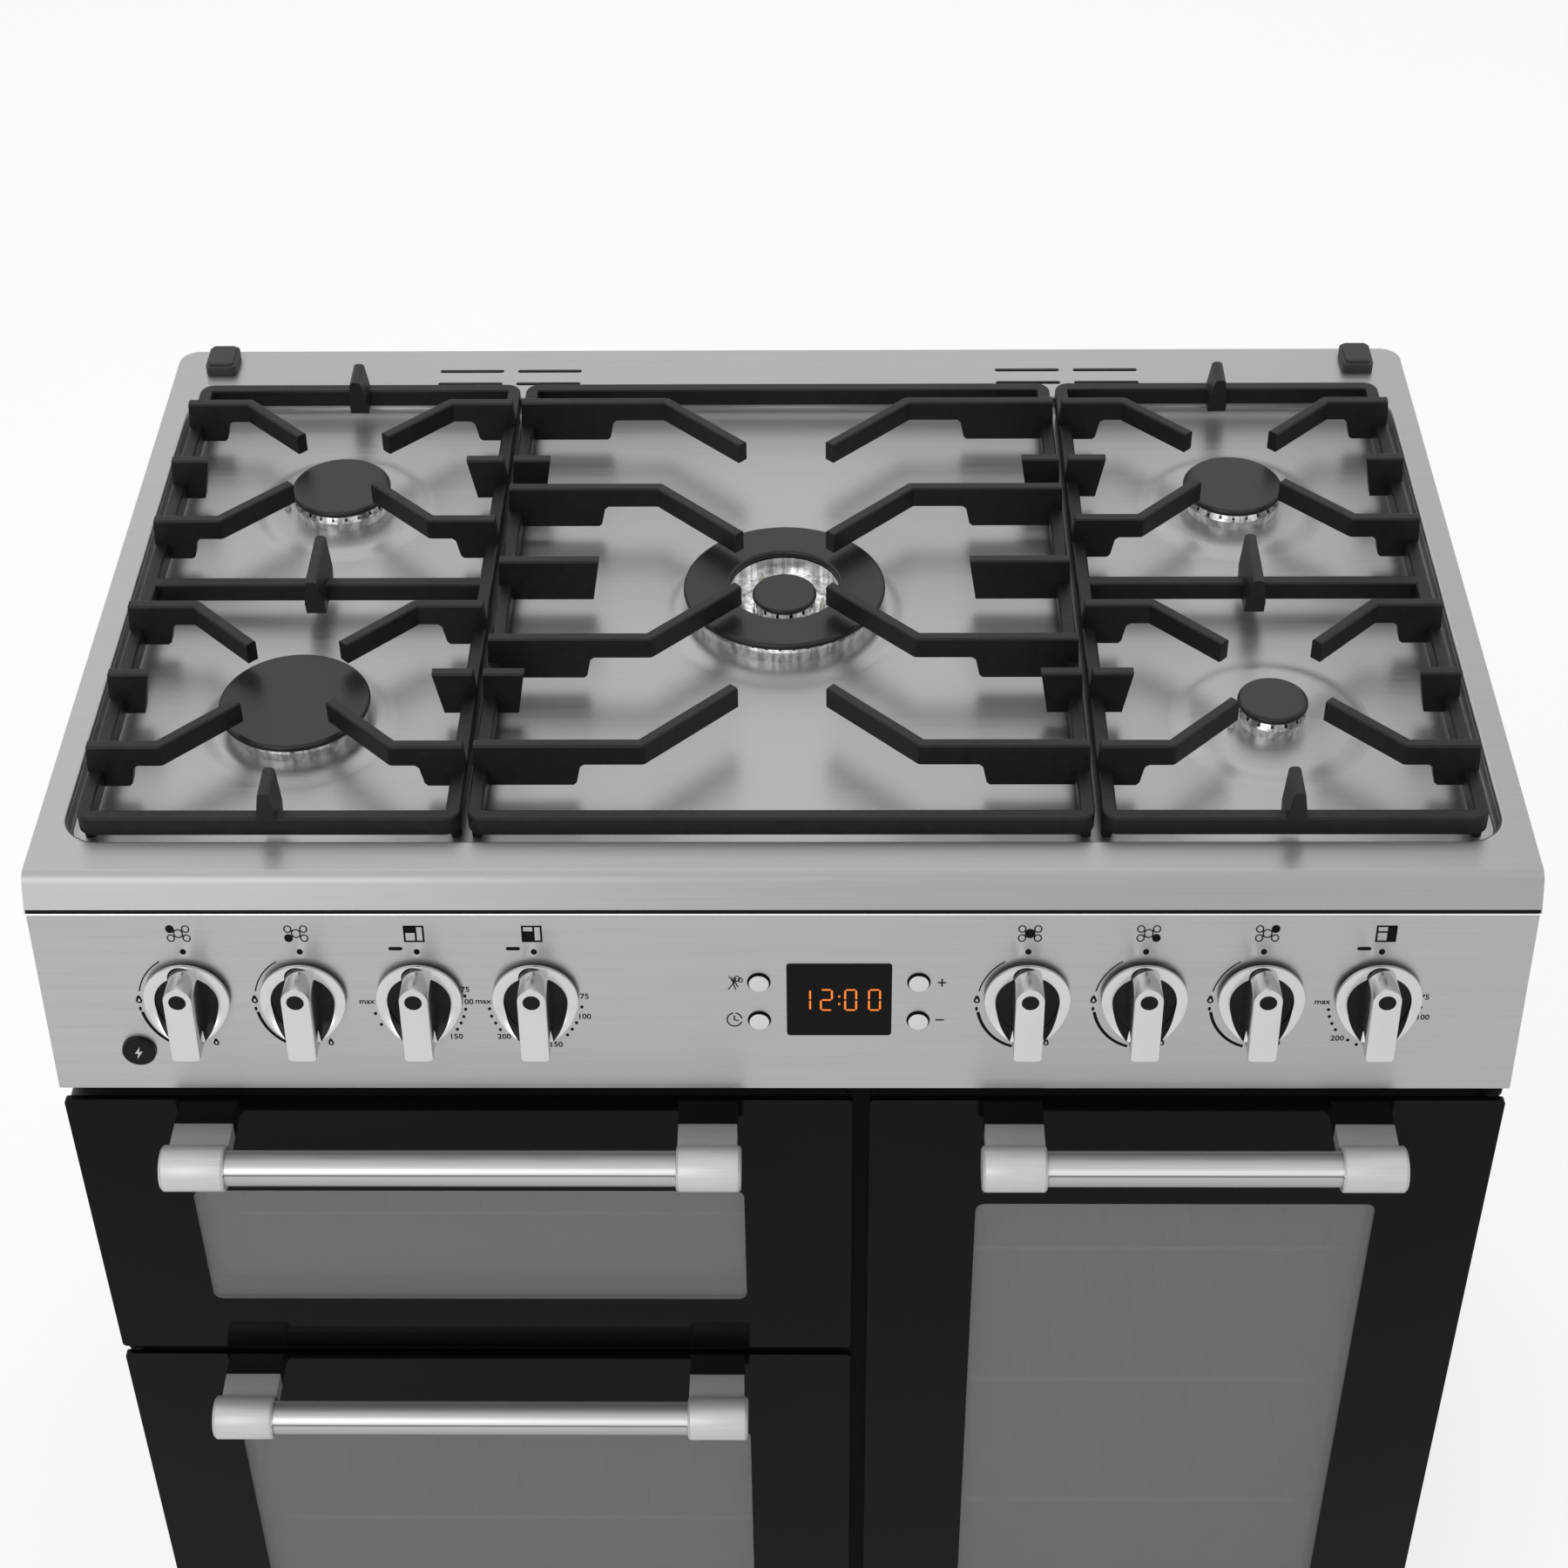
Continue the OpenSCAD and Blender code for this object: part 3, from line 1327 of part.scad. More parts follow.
module top_door_panel() {
    bore_r = hinge_pin_r + run_gap;
    slot = lug_t + 2;
    z = TOP_DOOR[2] + hinge_in;
    color("dimgray") difference() {
        door_tray(TOP_DOOR, TOP_WINDOW)
            for (x = [TOP_DOOR[0] + lug_in, TOP_DOOR[1] - lug_in])
                cuboid(x - 12, x + 12, glass_y + pane_t, door_inner_y - EPS, TOP_DOOR[2], z + 8);
        for (x = [TOP_DOOR[0] + lug_in, TOP_DOOR[1] - lug_in]) {
            cuboid(x - slot / 2, x + slot / 2, hinge_y - 5, door_inner_y + 1, TOP_DOOR[2] - 1, z + 5);
            translate([x - 9, hinge_y, z]) rotate([0, 90, 0]) cylinder(r = bore_r, h = 18);
        }
    }
}

module main_door_panel() {
    color("dimgray") side_hung_tray(MAIN_DOOR, MAIN_WINDOW, -casing_x + hinge_in);
}

module tall_door_panel() {
    color("dimgray") side_hung_tray(TALL_DOOR, TALL_WINDOW, casing_x - hinge_in);
}

// A handle's end sleeve with bevelled rims, along +X
module end_sleeve() {
    r = handle_cap_d / 2;
    edge = 1.5;
    union() {
        cylinder(r1 = r - edge, r2 = r, h = edge);
        translate([0, 0, edge - EPS]) cylinder(r = r, h = handle_cap_l - 2 * edge + 2 * EPS);
        translate([0, 0, handle_cap_l - edge]) cylinder(r1 = r, r2 = r - edge, h = edge);
    }
}

// Arms, end sleeves and the bar between them
module door_handle(door, shift) {
    z = door[3] - handle_drop;
    x0 = door[0] + handle_inset + shift;
    x1 = door[1] - handle_inset + shift;
    arm_in = 21.5;
    color("silver") union() {
        translate([x0 + 2, handle_y, z]) rotate([0, 90, 0]) cylinder(r = handle_bar_d / 2, h = x1 - x0 - 4);
        for (x = [x0, x1 - handle_cap_l]) translate([x, handle_y, z]) rotate([0, 90, 0]) end_sleeve();
        for (x = [x0 + arm_in, x1 - arm_in])
            cuboid(x - arm_w / 2, x + arm_w / 2, handle_y, glass_y, z - arm_h / 2, z + arm_h / 2);
    }
}

base_frame();
adjustable_feet();
plinth();
side_panel_left();
side_panel_right();
rear_panel();
front_frame();
top_oven_liner();
main_oven_liner();
tall_oven_liner();
door_seals();
oven_shelves();
grill_element();
fan_motors();
fan_covers();
main_fan();
tall_fan();
hob_top();
rear_buffers();
burner_bodies();
burner_heads();
burner_caps();
igniters();
gas_manifold();
gas_taps();
control_panel();
timer_module();
timer_window();
oven_controls();
mains_box();
pan_support_left();
pan_support_centre();
pan_support_right();
spindle(0);  // spindle_rear_left
spindle(1);  // spindle_front_left
spindle(4);  // spindle_wok
spindle(5);  // spindle_front_right
spindle(6);  // spindle_rear_right
knob(0);  // knob_rear_left
knob(1);  // knob_front_left
knob(2);  // knob_top_oven
knob(3);  // knob_main_oven
knob(4);  // knob_wok
knob(5);  // knob_front_right
knob(6);  // knob_rear_right
knob(7);  // knob_tall_oven
ignition_button();
timer_button(0);  // timer_button_function
timer_button(1);  // timer_button_clock
timer_button(2);  // timer_button_plus
timer_button(3);  // timer_button_minus
door_glass(TOP_DOOR, TOP_WINDOW);  // top_door_glass
top_door_panel();
door_handle(TOP_DOOR, -handle_shift);  // top_door_handle
door_glass(MAIN_DOOR, MAIN_WINDOW);  // main_door_glass
main_door_panel();
door_handle(MAIN_DOOR, -handle_shift);  // main_door_handle
door_glass(TALL_DOOR, TALL_WINDOW);  // tall_door_glass
tall_door_panel();
door_handle(TALL_DOOR, handle_shift);  // tall_door_handle
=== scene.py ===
import math

import bmesh
import bpy
from mathutils import Matrix, Vector


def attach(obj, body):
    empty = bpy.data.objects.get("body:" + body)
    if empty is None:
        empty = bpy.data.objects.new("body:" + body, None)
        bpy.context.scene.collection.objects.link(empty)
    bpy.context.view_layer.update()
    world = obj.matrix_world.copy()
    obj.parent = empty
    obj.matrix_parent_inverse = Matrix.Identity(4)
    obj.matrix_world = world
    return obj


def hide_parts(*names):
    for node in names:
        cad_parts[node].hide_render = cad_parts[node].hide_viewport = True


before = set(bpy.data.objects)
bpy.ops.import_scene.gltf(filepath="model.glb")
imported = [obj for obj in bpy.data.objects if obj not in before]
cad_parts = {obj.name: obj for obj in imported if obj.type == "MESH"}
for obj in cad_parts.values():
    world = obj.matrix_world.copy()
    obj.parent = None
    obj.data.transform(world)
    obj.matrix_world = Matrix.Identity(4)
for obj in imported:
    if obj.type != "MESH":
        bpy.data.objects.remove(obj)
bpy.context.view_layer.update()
MM = 0.001

# Sizes from the CAD frame, in mm; on the panel, down is the distance below its top edge
LEAN = math.radians(5.46)
PANEL_TOP_Y = -264.65
PANEL_TOP_Z = 875.2
KNOB_DOWN = 60.0
KNOB_GAP = 3.2
SKIRT_LOW, SKIRT_HIGH, KNOB_D, SKIRT_RIM = 2.4, 13.6, 52.0, 6.8
SWEEP_START, SINK, SINK_SHIFT = 3.0, 1.2, 1.2
HANDLE_Y = -310.25
HANDLES = {"top_door": (-385.0, -25.5, 704.5), "main_door": (-385.0, -25.5, 456.5),
           "tall_door": (123.3, 385.0, 704.5)}  # left end, right end, height of the axis
SLEEVE_L = 40.0
ARM_FROM = 15.0  # what lies further than this behind a handle's axis is its arm
GRIP_H, GRIP_W, GRIP_UP = 26.0, 17.2, 24.0
GRIP_END = KNOB_DOWN - GRIP_UP + GRIP_W / 2  # middle of the grip's round end
LIP_FOOT_Z, LIP_LEAD, LIP_DROP = 877.2, 9.4, 22.8  # the hob's leaning front lip
BUTTONS = {"function": (-13.5, 50.0), "clock": (-13.5, 79.5), "plus": (83.0, 50.0), "minus": (83.0, 79.5)}
KNOBS = {"rear_left": -360.0, "front_left": -289.5, "top_oven": -219.0, "main_oven": -148.5,
         "wok": 148.5, "front_right": 219.0, "rear_right": 289.5, "tall_oven": 360.0}
GAS_KNOBS = ("rear_left", "front_left", "wok", "front_right", "rear_right")


def on_panel(x, down, h=0.0):
    """A point of the control panel in metres: x across, down from its top edge, h out of its face."""
    return Vector((x, PANEL_TOP_Y - down * math.sin(LEAN) - h * math.cos(LEAN),
                   PANEL_TOP_Z - down * math.cos(LEAN) + h * math.sin(LEAN))) * MM


def set_camera():
    """The photo's camera, solved from points on the hob, pan supports and panel."""
    pitch, yaw, roll = math.radians(40.267), math.radians(0.99), math.radians(-0.686)
    right = Vector((math.cos(yaw), math.sin(yaw), 0))
    ahead = Vector((-math.sin(yaw) * math.cos(pitch), math.cos(yaw) * math.cos(pitch), -math.sin(pitch)))
    up = right.cross(ahead)
    turned = right * math.cos(roll) + up * math.sin(roll)
    raised = up * math.cos(roll) - right * math.sin(roll)
    data = bpy.data.cameras.new("camera")
    data.lens, data.sensor_width = 67.31, 36
    cam = bpy.data.objects.new("camera", data)
    m = Matrix((turned, raised, -ahead)).transposed().to_4x4()
    m.translation = (0.0251, -1.54075, 2.0591)
    cam.matrix_world = m
    bpy.context.scene.collection.objects.link(cam)
    bpy.context.scene.camera = cam


class Mat:
    """A procedural material on one Principled shader, patterned by Object coordinates in metres."""

    def __init__(self, name, color, metallic=0.0, roughness=0.5, **plain):
        self.m = bpy.data.materials.new(name)
        self.m.use_nodes = True
        self.nodes = self.m.node_tree.nodes
        self.links = self.m.node_tree.links
        self.bsdf = self.nodes["Principled BSDF"]
        self.coord = self.nodes.new("ShaderNodeTexCoord")
        self.set(**{"Base Color": (*color, 1), "Metallic": metallic, "Roughness": roughness}, **plain)
        self.m.diffuse_color = (*color, 1)

    def set(self, **values):
        for key, value in values.items():
            self.bsdf.inputs[key.replace("_", " ")].default_value = value

    def node(self, kind, inputs=None, **props):
        n = self.nodes.new(kind)
        for key, value in props.items():
            setattr(n, key, value)
        for key, value in (inputs or {}).items():
            if hasattr(value, "is_linked") or hasattr(value, "links"):
                self.links.new(value, n.inputs[key])
            else:
                n.inputs[key].default_value = value
        return n

    def noise(self, scale, detail=3.0, rough=0.55, stretch=(1, 1, 1)):
        moved = self.node("ShaderNodeMapping", {"Vector": self.coord.outputs["Object"], "Scale": stretch})
        return self.node("ShaderNodeTexNoise", {"Vector": moved.outputs[0], "Scale": scale, "Detail": detail,
                                                "Roughness": rough}).outputs[0]

    def span(self, value, low, high, from_low=0.3, from_high=0.7):
        return self.node("ShaderNodeMapRange", {"Value": value, "From Min": from_low, "From Max": from_high,
                                                "To Min": low, "To Max": high}).outputs[0]

    def math(self, op, a, b=0.0, clamp=False):
        return self.node("ShaderNodeMath", {0: a, 1: b}, operation=op, use_clamp=clamp).outputs[0]

    def mix(self, fac, a, b):
        n = self.node("ShaderNodeMix", {0: fac}, data_type="RGBA")
        for key, value in ((6, a), (7, b)):
            if isinstance(value, tuple):
                n.inputs[key].default_value = (*value, 1)
            else:
                self.links.new(value, n.inputs[key])
        return n.outputs[2]

    def drive(self, name, value):
        self.links.new(value, self.bsdf.inputs[name])

    def bump(self, height, strength, distance):
        n = self.node("ShaderNodeBump", {"Height": height, "Strength": strength, "Distance": distance})
        self.drive("Normal", n.outputs[0])

    def grain(self, way):
        """Stretches highlights along one fixed direction, as brushed or turned metal does."""
        n = self.node("ShaderNodeCombineXYZ", {0: way[0], 1: way[1], 2: way[2]})
        self.drive("Tangent", n.outputs[0])


def shade(value):
    return (value, value, value * 1.01)


def brushed(name, tone, roughness, streak=0.05):
    """Stainless sheet brushed from left to right."""
    mat = Mat(name, shade(tone), 1.0, roughness, Anisotropic=0.75)
    fine = mat.noise(1.0, 2.0, 0.6, (14, 1500, 1500))
    broad = mat.noise(1.0, 3.0, 0.6, (3, 260, 260))
    cloud = mat.noise(3.2, 2.0)
    both = mat.math("ADD", mat.math("MULTIPLY", fine, 0.5), mat.math("MULTIPLY", broad, 0.5))
    streaks = mat.mix(mat.span(both, 0, 1, 0.36, 0.64), shade(tone * (1 - streak)), shade(tone * (1 + streak)))
    mat.drive("Base Color", mat.mix(mat.span(cloud, 0, 0.10), streaks, shade(tone * 0.8)))
    mat.drive("Roughness", mat.span(both, roughness - 0.05, roughness + 0.06))
    mat.bump(both, 0.12, 0.0004)
    mat.grain((0.0, 0.7071, 0.7071))
    return mat.m


def metal(name, tone, roughness, wear=0.04, scale=60.0):
    """Satin, plated or polished metal with faint clouding and handling marks."""
    mat = Mat(name, shade(tone), 1.0, roughness)
    cloud = mat.noise(scale, 4.0)
    marks = mat.noise(scale * 14, 2.0)
    mat.drive("Base Color", mat.mix(mat.span(cloud, 0, 1), shade(tone * (1 - wear)), shade(tone)))
    mat.drive("Roughness", mat.span(marks, roughness * 0.85, roughness * 1.2))
    mat.bump(marks, 0.05, 0.0002)
    return mat.m


def brushed_bar(name, tone, roughness, metallic):
    """Satin aluminium brushed across its length."""
    mat = Mat(name, shade(tone), metallic, roughness)
    lines = mat.noise(1.0, 2.0, 0.6, (30, 1400, 1400))
    cloud = mat.noise(30.0, 2.0)
    both = mat.math("ADD", mat.math("MULTIPLY", lines, 0.7), mat.math("MULTIPLY", cloud, 0.3))
    mat.drive("Base Color", mat.mix(mat.span(both, 0, 1, 0.38, 0.62), shade(tone * 0.93), shade(tone * 1.05)))
    mat.drive("Roughness", mat.span(lines, roughness * 0.9, roughness * 1.1))
    mat.bump(lines, 0.06, 0.0002)
    return mat.m


def polished(name, tone, roughness):
    """Bright plating with only a broad, faint clouding."""
    mat = Mat(name, shade(tone), 1.0, roughness)
    cloud = mat.noise(22.0, 2.0)
    mat.drive("Base Color", mat.mix(mat.span(cloud, 0, 1), shade(tone * 0.97), shade(tone * 1.02)))
    mat.drive("Roughness", mat.span(cloud, roughness * 0.94, roughness * 1.06))
    return mat.m


# Painted reflection: tone by angle round a handle bar, in degrees up from straight ahead
BAR_REFLECTION_BANDS = ((-180, 0.40), (-62, 0.40), (-50, 0.66), (-40, 0.72), (-33, 0.44), (-12, 0.47), (8, 0.56), (18, 0.60),
             (21, 0.24), (25, 0.24), (29, 0.92), (39, 0.98), (48, 0.70), (66, 0.56), (92, 0.36), (104, 0.36),
             (112, 0.66), (124, 0.70), (140, 0.30), (180, 0.30))


def bar_painted_reflection(name, y, z):
    """Plated steel bar along X through (y, z) in mm, with fine lengthwise bands of painted reflection round it."""
    mat = Mat(name, shade(0.6), 0.35, 0.30)
    xyz = mat.node("ShaderNodeSeparateXYZ", {0: mat.coord.outputs["Object"]})
    front = mat.math("SUBTRACT", y * MM, xyz.outputs[1])
    above = mat.math("SUBTRACT", xyz.outputs[2], z * MM)
    turn = mat.math("DIVIDE", mat.math("ARCTAN2", above, front), math.pi)
    # Painted reflection: a colour ramp of light and dark bands by angle round the bar
    ramp = mat.nodes.new("ShaderNodeValToRGB")
    mat.links.new(mat.math("ADD", mat.math("MULTIPLY", turn, 0.5), 0.5), ramp.inputs[0])
    while len(ramp.color_ramp.elements) < len(BAR_REFLECTION_BANDS):
        ramp.color_ramp.elements.new(1.0)
    for stop, (angle, tone) in zip(ramp.color_ramp.elements, BAR_REFLECTION_BANDS):
        stop.position = 0.5 + angle / 360.0
        stop.color = (*shade(tone), 1)
    cloud = mat.noise(16.0, 2.0, 0.5, (0.3, 1, 1))
    mat.drive("Base Color", mat.mix(mat.span(cloud, 0.0, 0.10), ramp.outputs[0], shade(0.45)))
    mat.drive("Roughness", mat.span(cloud, 0.28, 0.33))
    return mat.m


def cast(name, tone, roughness, specular):
    """Enamelled cast iron: fine pitted skin with slightly paler high spots."""
    mat = Mat(name, shade(tone), 0.0, roughness, Specular_IOR_Level=specular)
    skin = mat.noise(900.0, 3.0, 0.65)
    lumps = mat.noise(130.0, 3.0)
    mat.drive("Base Color", mat.mix(mat.span(lumps, 0, 1), shade(tone * 0.8), shade(tone * 1.35)))
    mat.drive("Roughness", mat.span(skin, roughness - 0.06, roughness + 0.1))
    height = mat.math("ADD", mat.math("MULTIPLY", skin, 0.6), mat.math("MULTIPLY", lumps, 0.8))
    mat.bump(height, 0.3, 0.0004)
    return mat.m


def coated(name, color, roughness, speckle=0.12, scale=420.0, bump=0.05, **plain):
    """Enamel, paint, plastic or rubber with a faint mottle."""
    mat = Mat(name, color, 0.0, roughness, **plain)
    mottle = mat.noise(scale, 3.0)
    cloud = mat.noise(scale * 0.06, 2.0)
    both = mat.math("ADD", mat.math("MULTIPLY", mottle, 0.5), mat.math("MULTIPLY", cloud, 0.5))
    mat.drive("Base Color", mat.mix(mat.span(both, 0, 1), tuple(c * (1 - speckle) for c in color),
                                    tuple(c * (1 + speckle) for c in color)))
    mat.drive("Roughness", mat.span(mottle, roughness * 0.92, min(1.0, roughness * 1.12)))
    mat.bump(mottle, bump, 0.0002)
    return mat.m


def turned(name, tone, roughness):
    """Machined burner alloy: turning lines round it, and paler and darker streaks up its wall that are painted
    reflection bands.
    """
    mat = Mat(name, shade(tone), 1.0, roughness, Anisotropic=0.6)
    lines = mat.noise(1.0, 2.0, 0.6, (40, 40, 3200))
    streaks = mat.noise(1.0, 3.0, 0.6, (260, 260, 8))
    # Painted reflection: pale and dark streaks up the wall, by angle round the burner
    mat.drive("Base Color", mat.mix(mat.span(streaks, 0, 1, 0.38, 0.62), shade(tone * 0.55), shade(tone * 1.12)))
    mat.drive("Roughness", mat.span(lines, roughness - 0.05, roughness + 0.08))
    mat.bump(lines, 0.1, 0.0002)
    mat.grain((0.0, 0.0, 1.0))
    return mat.m


def window_mask(mat, box, corner):
    """1 inside a rounded rectangle [left, right, bottom, top] of the XZ plane, in metres."""
    xyz = mat.node("ShaderNodeSeparateXYZ", {0: mat.coord.outputs["Object"]})
    far = []
    for out, low, high in ((0, box[0], box[1]), (2, box[2], box[3])):
        off = mat.math("ABSOLUTE", mat.math("SUBTRACT", xyz.outputs[out], (low + high) / 2))
        far.append(mat.math("MAXIMUM", mat.math("SUBTRACT", off, (high - low) / 2 - corner), 0.0))
    dist = mat.math("SQRT", mat.math("ADD", mat.math("POWER", far[0], 2.0), mat.math("POWER", far[1], 2.0)))
    return mat.span(dist, 1.0, 0.0, corner - 0.0003, corner + 0.0003)


def door_pane(name, box):
    """Black printed glass that is clear inside its window, where a light grey is painted in for the lit oven seen
    through it.
    """
    mat = Mat(name, shade(0.003), 0.0, 0.04, Specular_IOR_Level=0.07)
    inside = window_mask(mat, [v * MM for v in box], 0.006)
    smear = mat.noise(7.0, 3.0)
    # Painted light: the light grey inside the window stands for the lit oven behind the glass
    mat.drive("Base Color", mat.mix(inside, shade(0.003), shade(0.42)))
    mat.drive("Alpha", mat.math("SUBTRACT", 1.0, mat.math("MULTIPLY", inside, 0.62)))
    mat.drive("Roughness", mat.span(smear, 0.03, 0.06))
    return mat.m


def add_piece(name, mesh, material, body, slot, *nodes):
    obj = bpy.data.objects.new(name, mesh)
    bpy.context.scene.collection.objects.link(obj)
    mesh.materials.clear()
    mesh.materials.append(material)
    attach(obj, body)
    if nodes:
        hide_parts(*nodes)
    return obj


def smooth_by_angle(mesh, degrees):
    mesh.polygons.foreach_set("use_smooth", [True] * len(mesh.polygons))
    bm = bmesh.new()
    bm.from_mesh(mesh)
    for e in bm.edges:
        e.smooth = len(e.link_faces) == 2 and e.calc_face_angle(0.0) < math.radians(degrees)
    bm.to_mesh(mesh)
    bm.free()


def smooth_mesh(bm, name):
    """A mesh from closed shells, with outward normals and its round parts smooth."""
    bmesh.ops.recalc_face_normals(bm, faces=bm.faces)
    mesh = bpy.data.meshes.new(name)
    bm.to_mesh(mesh)
    bm.free()
    smooth_by_angle(mesh, 40)
    return mesh


def join_rows(bm, a, b):
    """Faces between two closed rings of vertices."""
    for i in range(len(a)):
        j = (i + 1) % len(a)
        bm.faces.new((a[i], a[j], b[j], b[i]))


def eased(node, material, body, slot, width):
    """A copy of a CAD node with its sharp outer edges rounded, which stands for the node."""
    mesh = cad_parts[node].data.copy()
    for layer in [a.name for a in mesh.attributes if a.name == "custom_normal"]:
        mesh.attributes.remove(mesh.attributes[layer])
    bm = bmesh.new()
    bm.from_mesh(mesh)
    bmesh.ops.remove_doubles(bm, verts=bm.verts, dist=2e-6)
    bmesh.ops.dissolve_limit(bm, angle_limit=math.radians(0.6), verts=bm.verts, edges=bm.edges)
    sharp = [e for e in bm.edges
             if len(e.link_faces) == 2 and e.calc_face_angle(0.0) >= math.radians(32) and e.is_convex]
    bmesh.ops.bevel(bm, geom=sharp, offset=width * MM, segments=2, profile=0.5, affect="EDGES",
                    clamp_overlap=False, miter_outer="ARC", miter_inner="SHARP")
    bmesh.ops.triangulate(bm, faces=[f for f in bm.faces if len(f.verts) > 4])
    bm.to_mesh(mesh)
    bm.free()
    smooth_by_angle(mesh, 40)
    return add_piece(node + "_finished", mesh, material, body, slot, node)


def long_strip(name, place, profile, half, material, slot):
    """A closed strip along X; place(x, a, b) gives a point in metres for a pair (a, b) of its outline."""
    bm = bmesh.new()
    rows = [[bm.verts.new(place(x, a, b)) for a, b in profile] for x in (-half, -half + 0.6, half - 0.6, half)]
    for a, b in zip(rows, rows[1:]):
        join_rows(bm, a, b)
    bm.faces.new(rows[0])
    bm.faces.new(rows[-1])
    return add_piece(name, smooth_mesh(bm, name), material, "cooker", slot)


class Print:
    """Flat marks that stand a hair proud of a face; place(x, down, h) gives a point of the face."""

    def __init__(self, place, low=-0.03, high=0.06):
        self.place, self.low, self.high = place, low, high
        self.bm = bmesh.new()

    def poly(self, points, holes=()):
        """A filled outline raised into a thin prism; a hole has as many points as the outline."""
        rings = [points] + list(holes)
        rows = []
        for ring in rings:
            low = [self.bm.verts.new(self.place(x, d, self.low)) for x, d in ring]
            top = [self.bm.verts.new(self.place(x, d, self.high)) for x, d in ring]
            rows.append((low, top))
            join_rows(self.bm, low, top)
        for level in (0, 1):
            if holes:
                join_rows(self.bm, rows[0][level], rows[1][level])
            else:
                bmesh.ops.triangulate(self.bm, faces=[self.bm.faces.new(rows[0][level])])

    def ring(self, x, down, r0, r1, steps=48):
        """A flat ring that is open underneath."""
        turns = [2 * math.pi * k / steps for k in range(steps)]
        rows = [[self.bm.verts.new(self.place(x + r * math.sin(t), down - r * math.cos(t), h)) for t in turns]
                for r, h in ((r0, self.low), (r0, self.high), (r1, self.high), (r1, self.low))]
        for a, b in zip(rows, rows[1:]):
            join_rows(self.bm, a, b)

    def band(self, x, down, a, b, w, a0=0.0, a1=360.0, steps=56):
        """Part of an oval line of width w; angles in degrees clockwise from straight up."""
        whole = a1 - a0 >= 360
        n = max(8, int(steps * (a1 - a0) / 360))
        turns = [math.radians(a0 + (a1 - a0) * k / n) for k in range(n + (0 if whole else 1))]
        inner = [(x + (a - w / 2) * math.sin(t), down - (b - w / 2) * math.cos(t)) for t in turns]
        outer = [(x + (a + w / 2) * math.sin(t), down - (b + w / 2) * math.cos(t)) for t in turns]
        if whole:
            self.poly(outer, [inner])
        else:
            self.poly(outer + inner[::-1])

    def oval(self, x, down, a, b, steps=28):
        self.poly([(x + a * math.sin(2 * math.pi * k / steps), down - b * math.cos(2 * math.pi * k / steps))
                   for k in range(steps)])

    def stadium(self, x, down, length, width):
        """A dash with round ends."""
        half, r = (length - width) / 2, width / 2
        pts = []
        for side in (1, -1):
            for k in range(9):
                a = math.pi * k / 8
                pts.append((x + side * (half + r * math.sin(a)), down - side * r * math.cos(a)))
        self.poly(pts)

    def box(self, x0, x1, d0, d1):
        self.poly([(x0, d0), (x1, d0), (x1, d1), (x0, d1)])

    def line(self, a, b, w):
        d = Vector((b[0] - a[0], b[1] - a[1])).normalized() * (w / 2)
        self.poly([(a[0] - d.y, a[1] + d.x), (b[0] - d.y, b[1] + d.x), (b[0] + d.y, b[1] - d.x),
                   (a[0] + d.y, a[1] - d.x)])

    def text(self, words, x, down, size):
        """Generic scale figures, centred on a point."""
        curve = bpy.data.curves.new("figures", "FONT")
        curve.body, curve.size, curve.resolution_u = words, size, 3
        curve.offset = 0.11
        curve.align_x, curve.align_y = "CENTER", "CENTER"
        obj = bpy.data.objects.new("figures", curve)
        bpy.context.scene.collection.objects.link(obj)
        bpy.context.view_layer.update()
        flat = bpy.data.meshes.new_from_object(obj.evaluated_get(bpy.context.evaluated_depsgraph_get()))
        part = bmesh.new()
        part.from_mesh(flat)
        grown = bmesh.ops.extrude_face_region(part, geom=list(part.faces))["geom"]
        tops = {v for v in grown if isinstance(v, bmesh.types.BMVert)}
        copies = {v: self.bm.verts.new(self.place(x + v.co.x, down - v.co.y, self.high if v in tops else self.low))
                  for v in part.verts}
        for f in part.faces:
            try:
                self.bm.faces.new([copies[v] for v in f.verts])
            except ValueError:
                pass
        part.free()
        bpy.data.objects.remove(obj)
        bpy.data.curves.remove(curve)
        bpy.data.meshes.remove(flat)

    def finish(self, name, material, body, slot):
        bmesh.ops.recalc_face_normals(self.bm, faces=self.bm.faces)
        mesh = bpy.data.meshes.new(name)
        self.bm.to_mesh(mesh)
        self.bm.free()
        return add_piece(name, mesh, material, body, slot)


set_camera()

STEEL = brushed("steel_hob", 0.40, 0.40)
STEEL_PANEL = brushed("steel_panel", 0.44, 0.32)
SATIN = metal("satin_chrome", 0.62, 0.24)
SLEEVE = brushed_bar("satin_sleeve", 0.74, 0.42, 0.30)
CASTING = cast("cast_black", 0.010, 0.44, 0.28)
CAP_ENAMEL = coated("cap_enamel", shade(0.014), 0.34, scale=700.0, bump=0.08, Specular_IOR_Level=0.36)
BLACK_ENAMEL = coated("black_enamel", shade(0.022), 0.3)
FRAME_BLACK = coated("frame_black", shade(0.004), 0.5, Specular_IOR_Level=0.12)
OVEN_ENAMEL = coated("oven_enamel", shade(0.30), 0.35, speckle=0.25, scale=900.0)
ALLOY = turned("burner_alloy", 0.86, 0.20)
RUBBER = coated("black_rubber", shade(0.035), 0.62, scale=600.0, bump=0.15)
BLACK_PLASTIC = coated("black_plastic", shade(0.012), 0.28)
GREY_PLASTIC = coated("grey_plastic", shade(0.30), 0.45)
ZINC = metal("galvanised", 0.5, 0.42, wear=0.18, scale=30.0)
CASING = coated("casing_paint", shade(0.36), 0.42, speckle=0.05, scale=500.0)
BRASS = metal("brass", 0.5, 0.3)
CERAMIC = coated("ceramic", (0.75, 0.73, 0.68), 0.25, speckle=0.04)
INK = coated("black_ink", shade(0.004), 0.7, scale=900.0, Specular_IOR_Level=0.12)
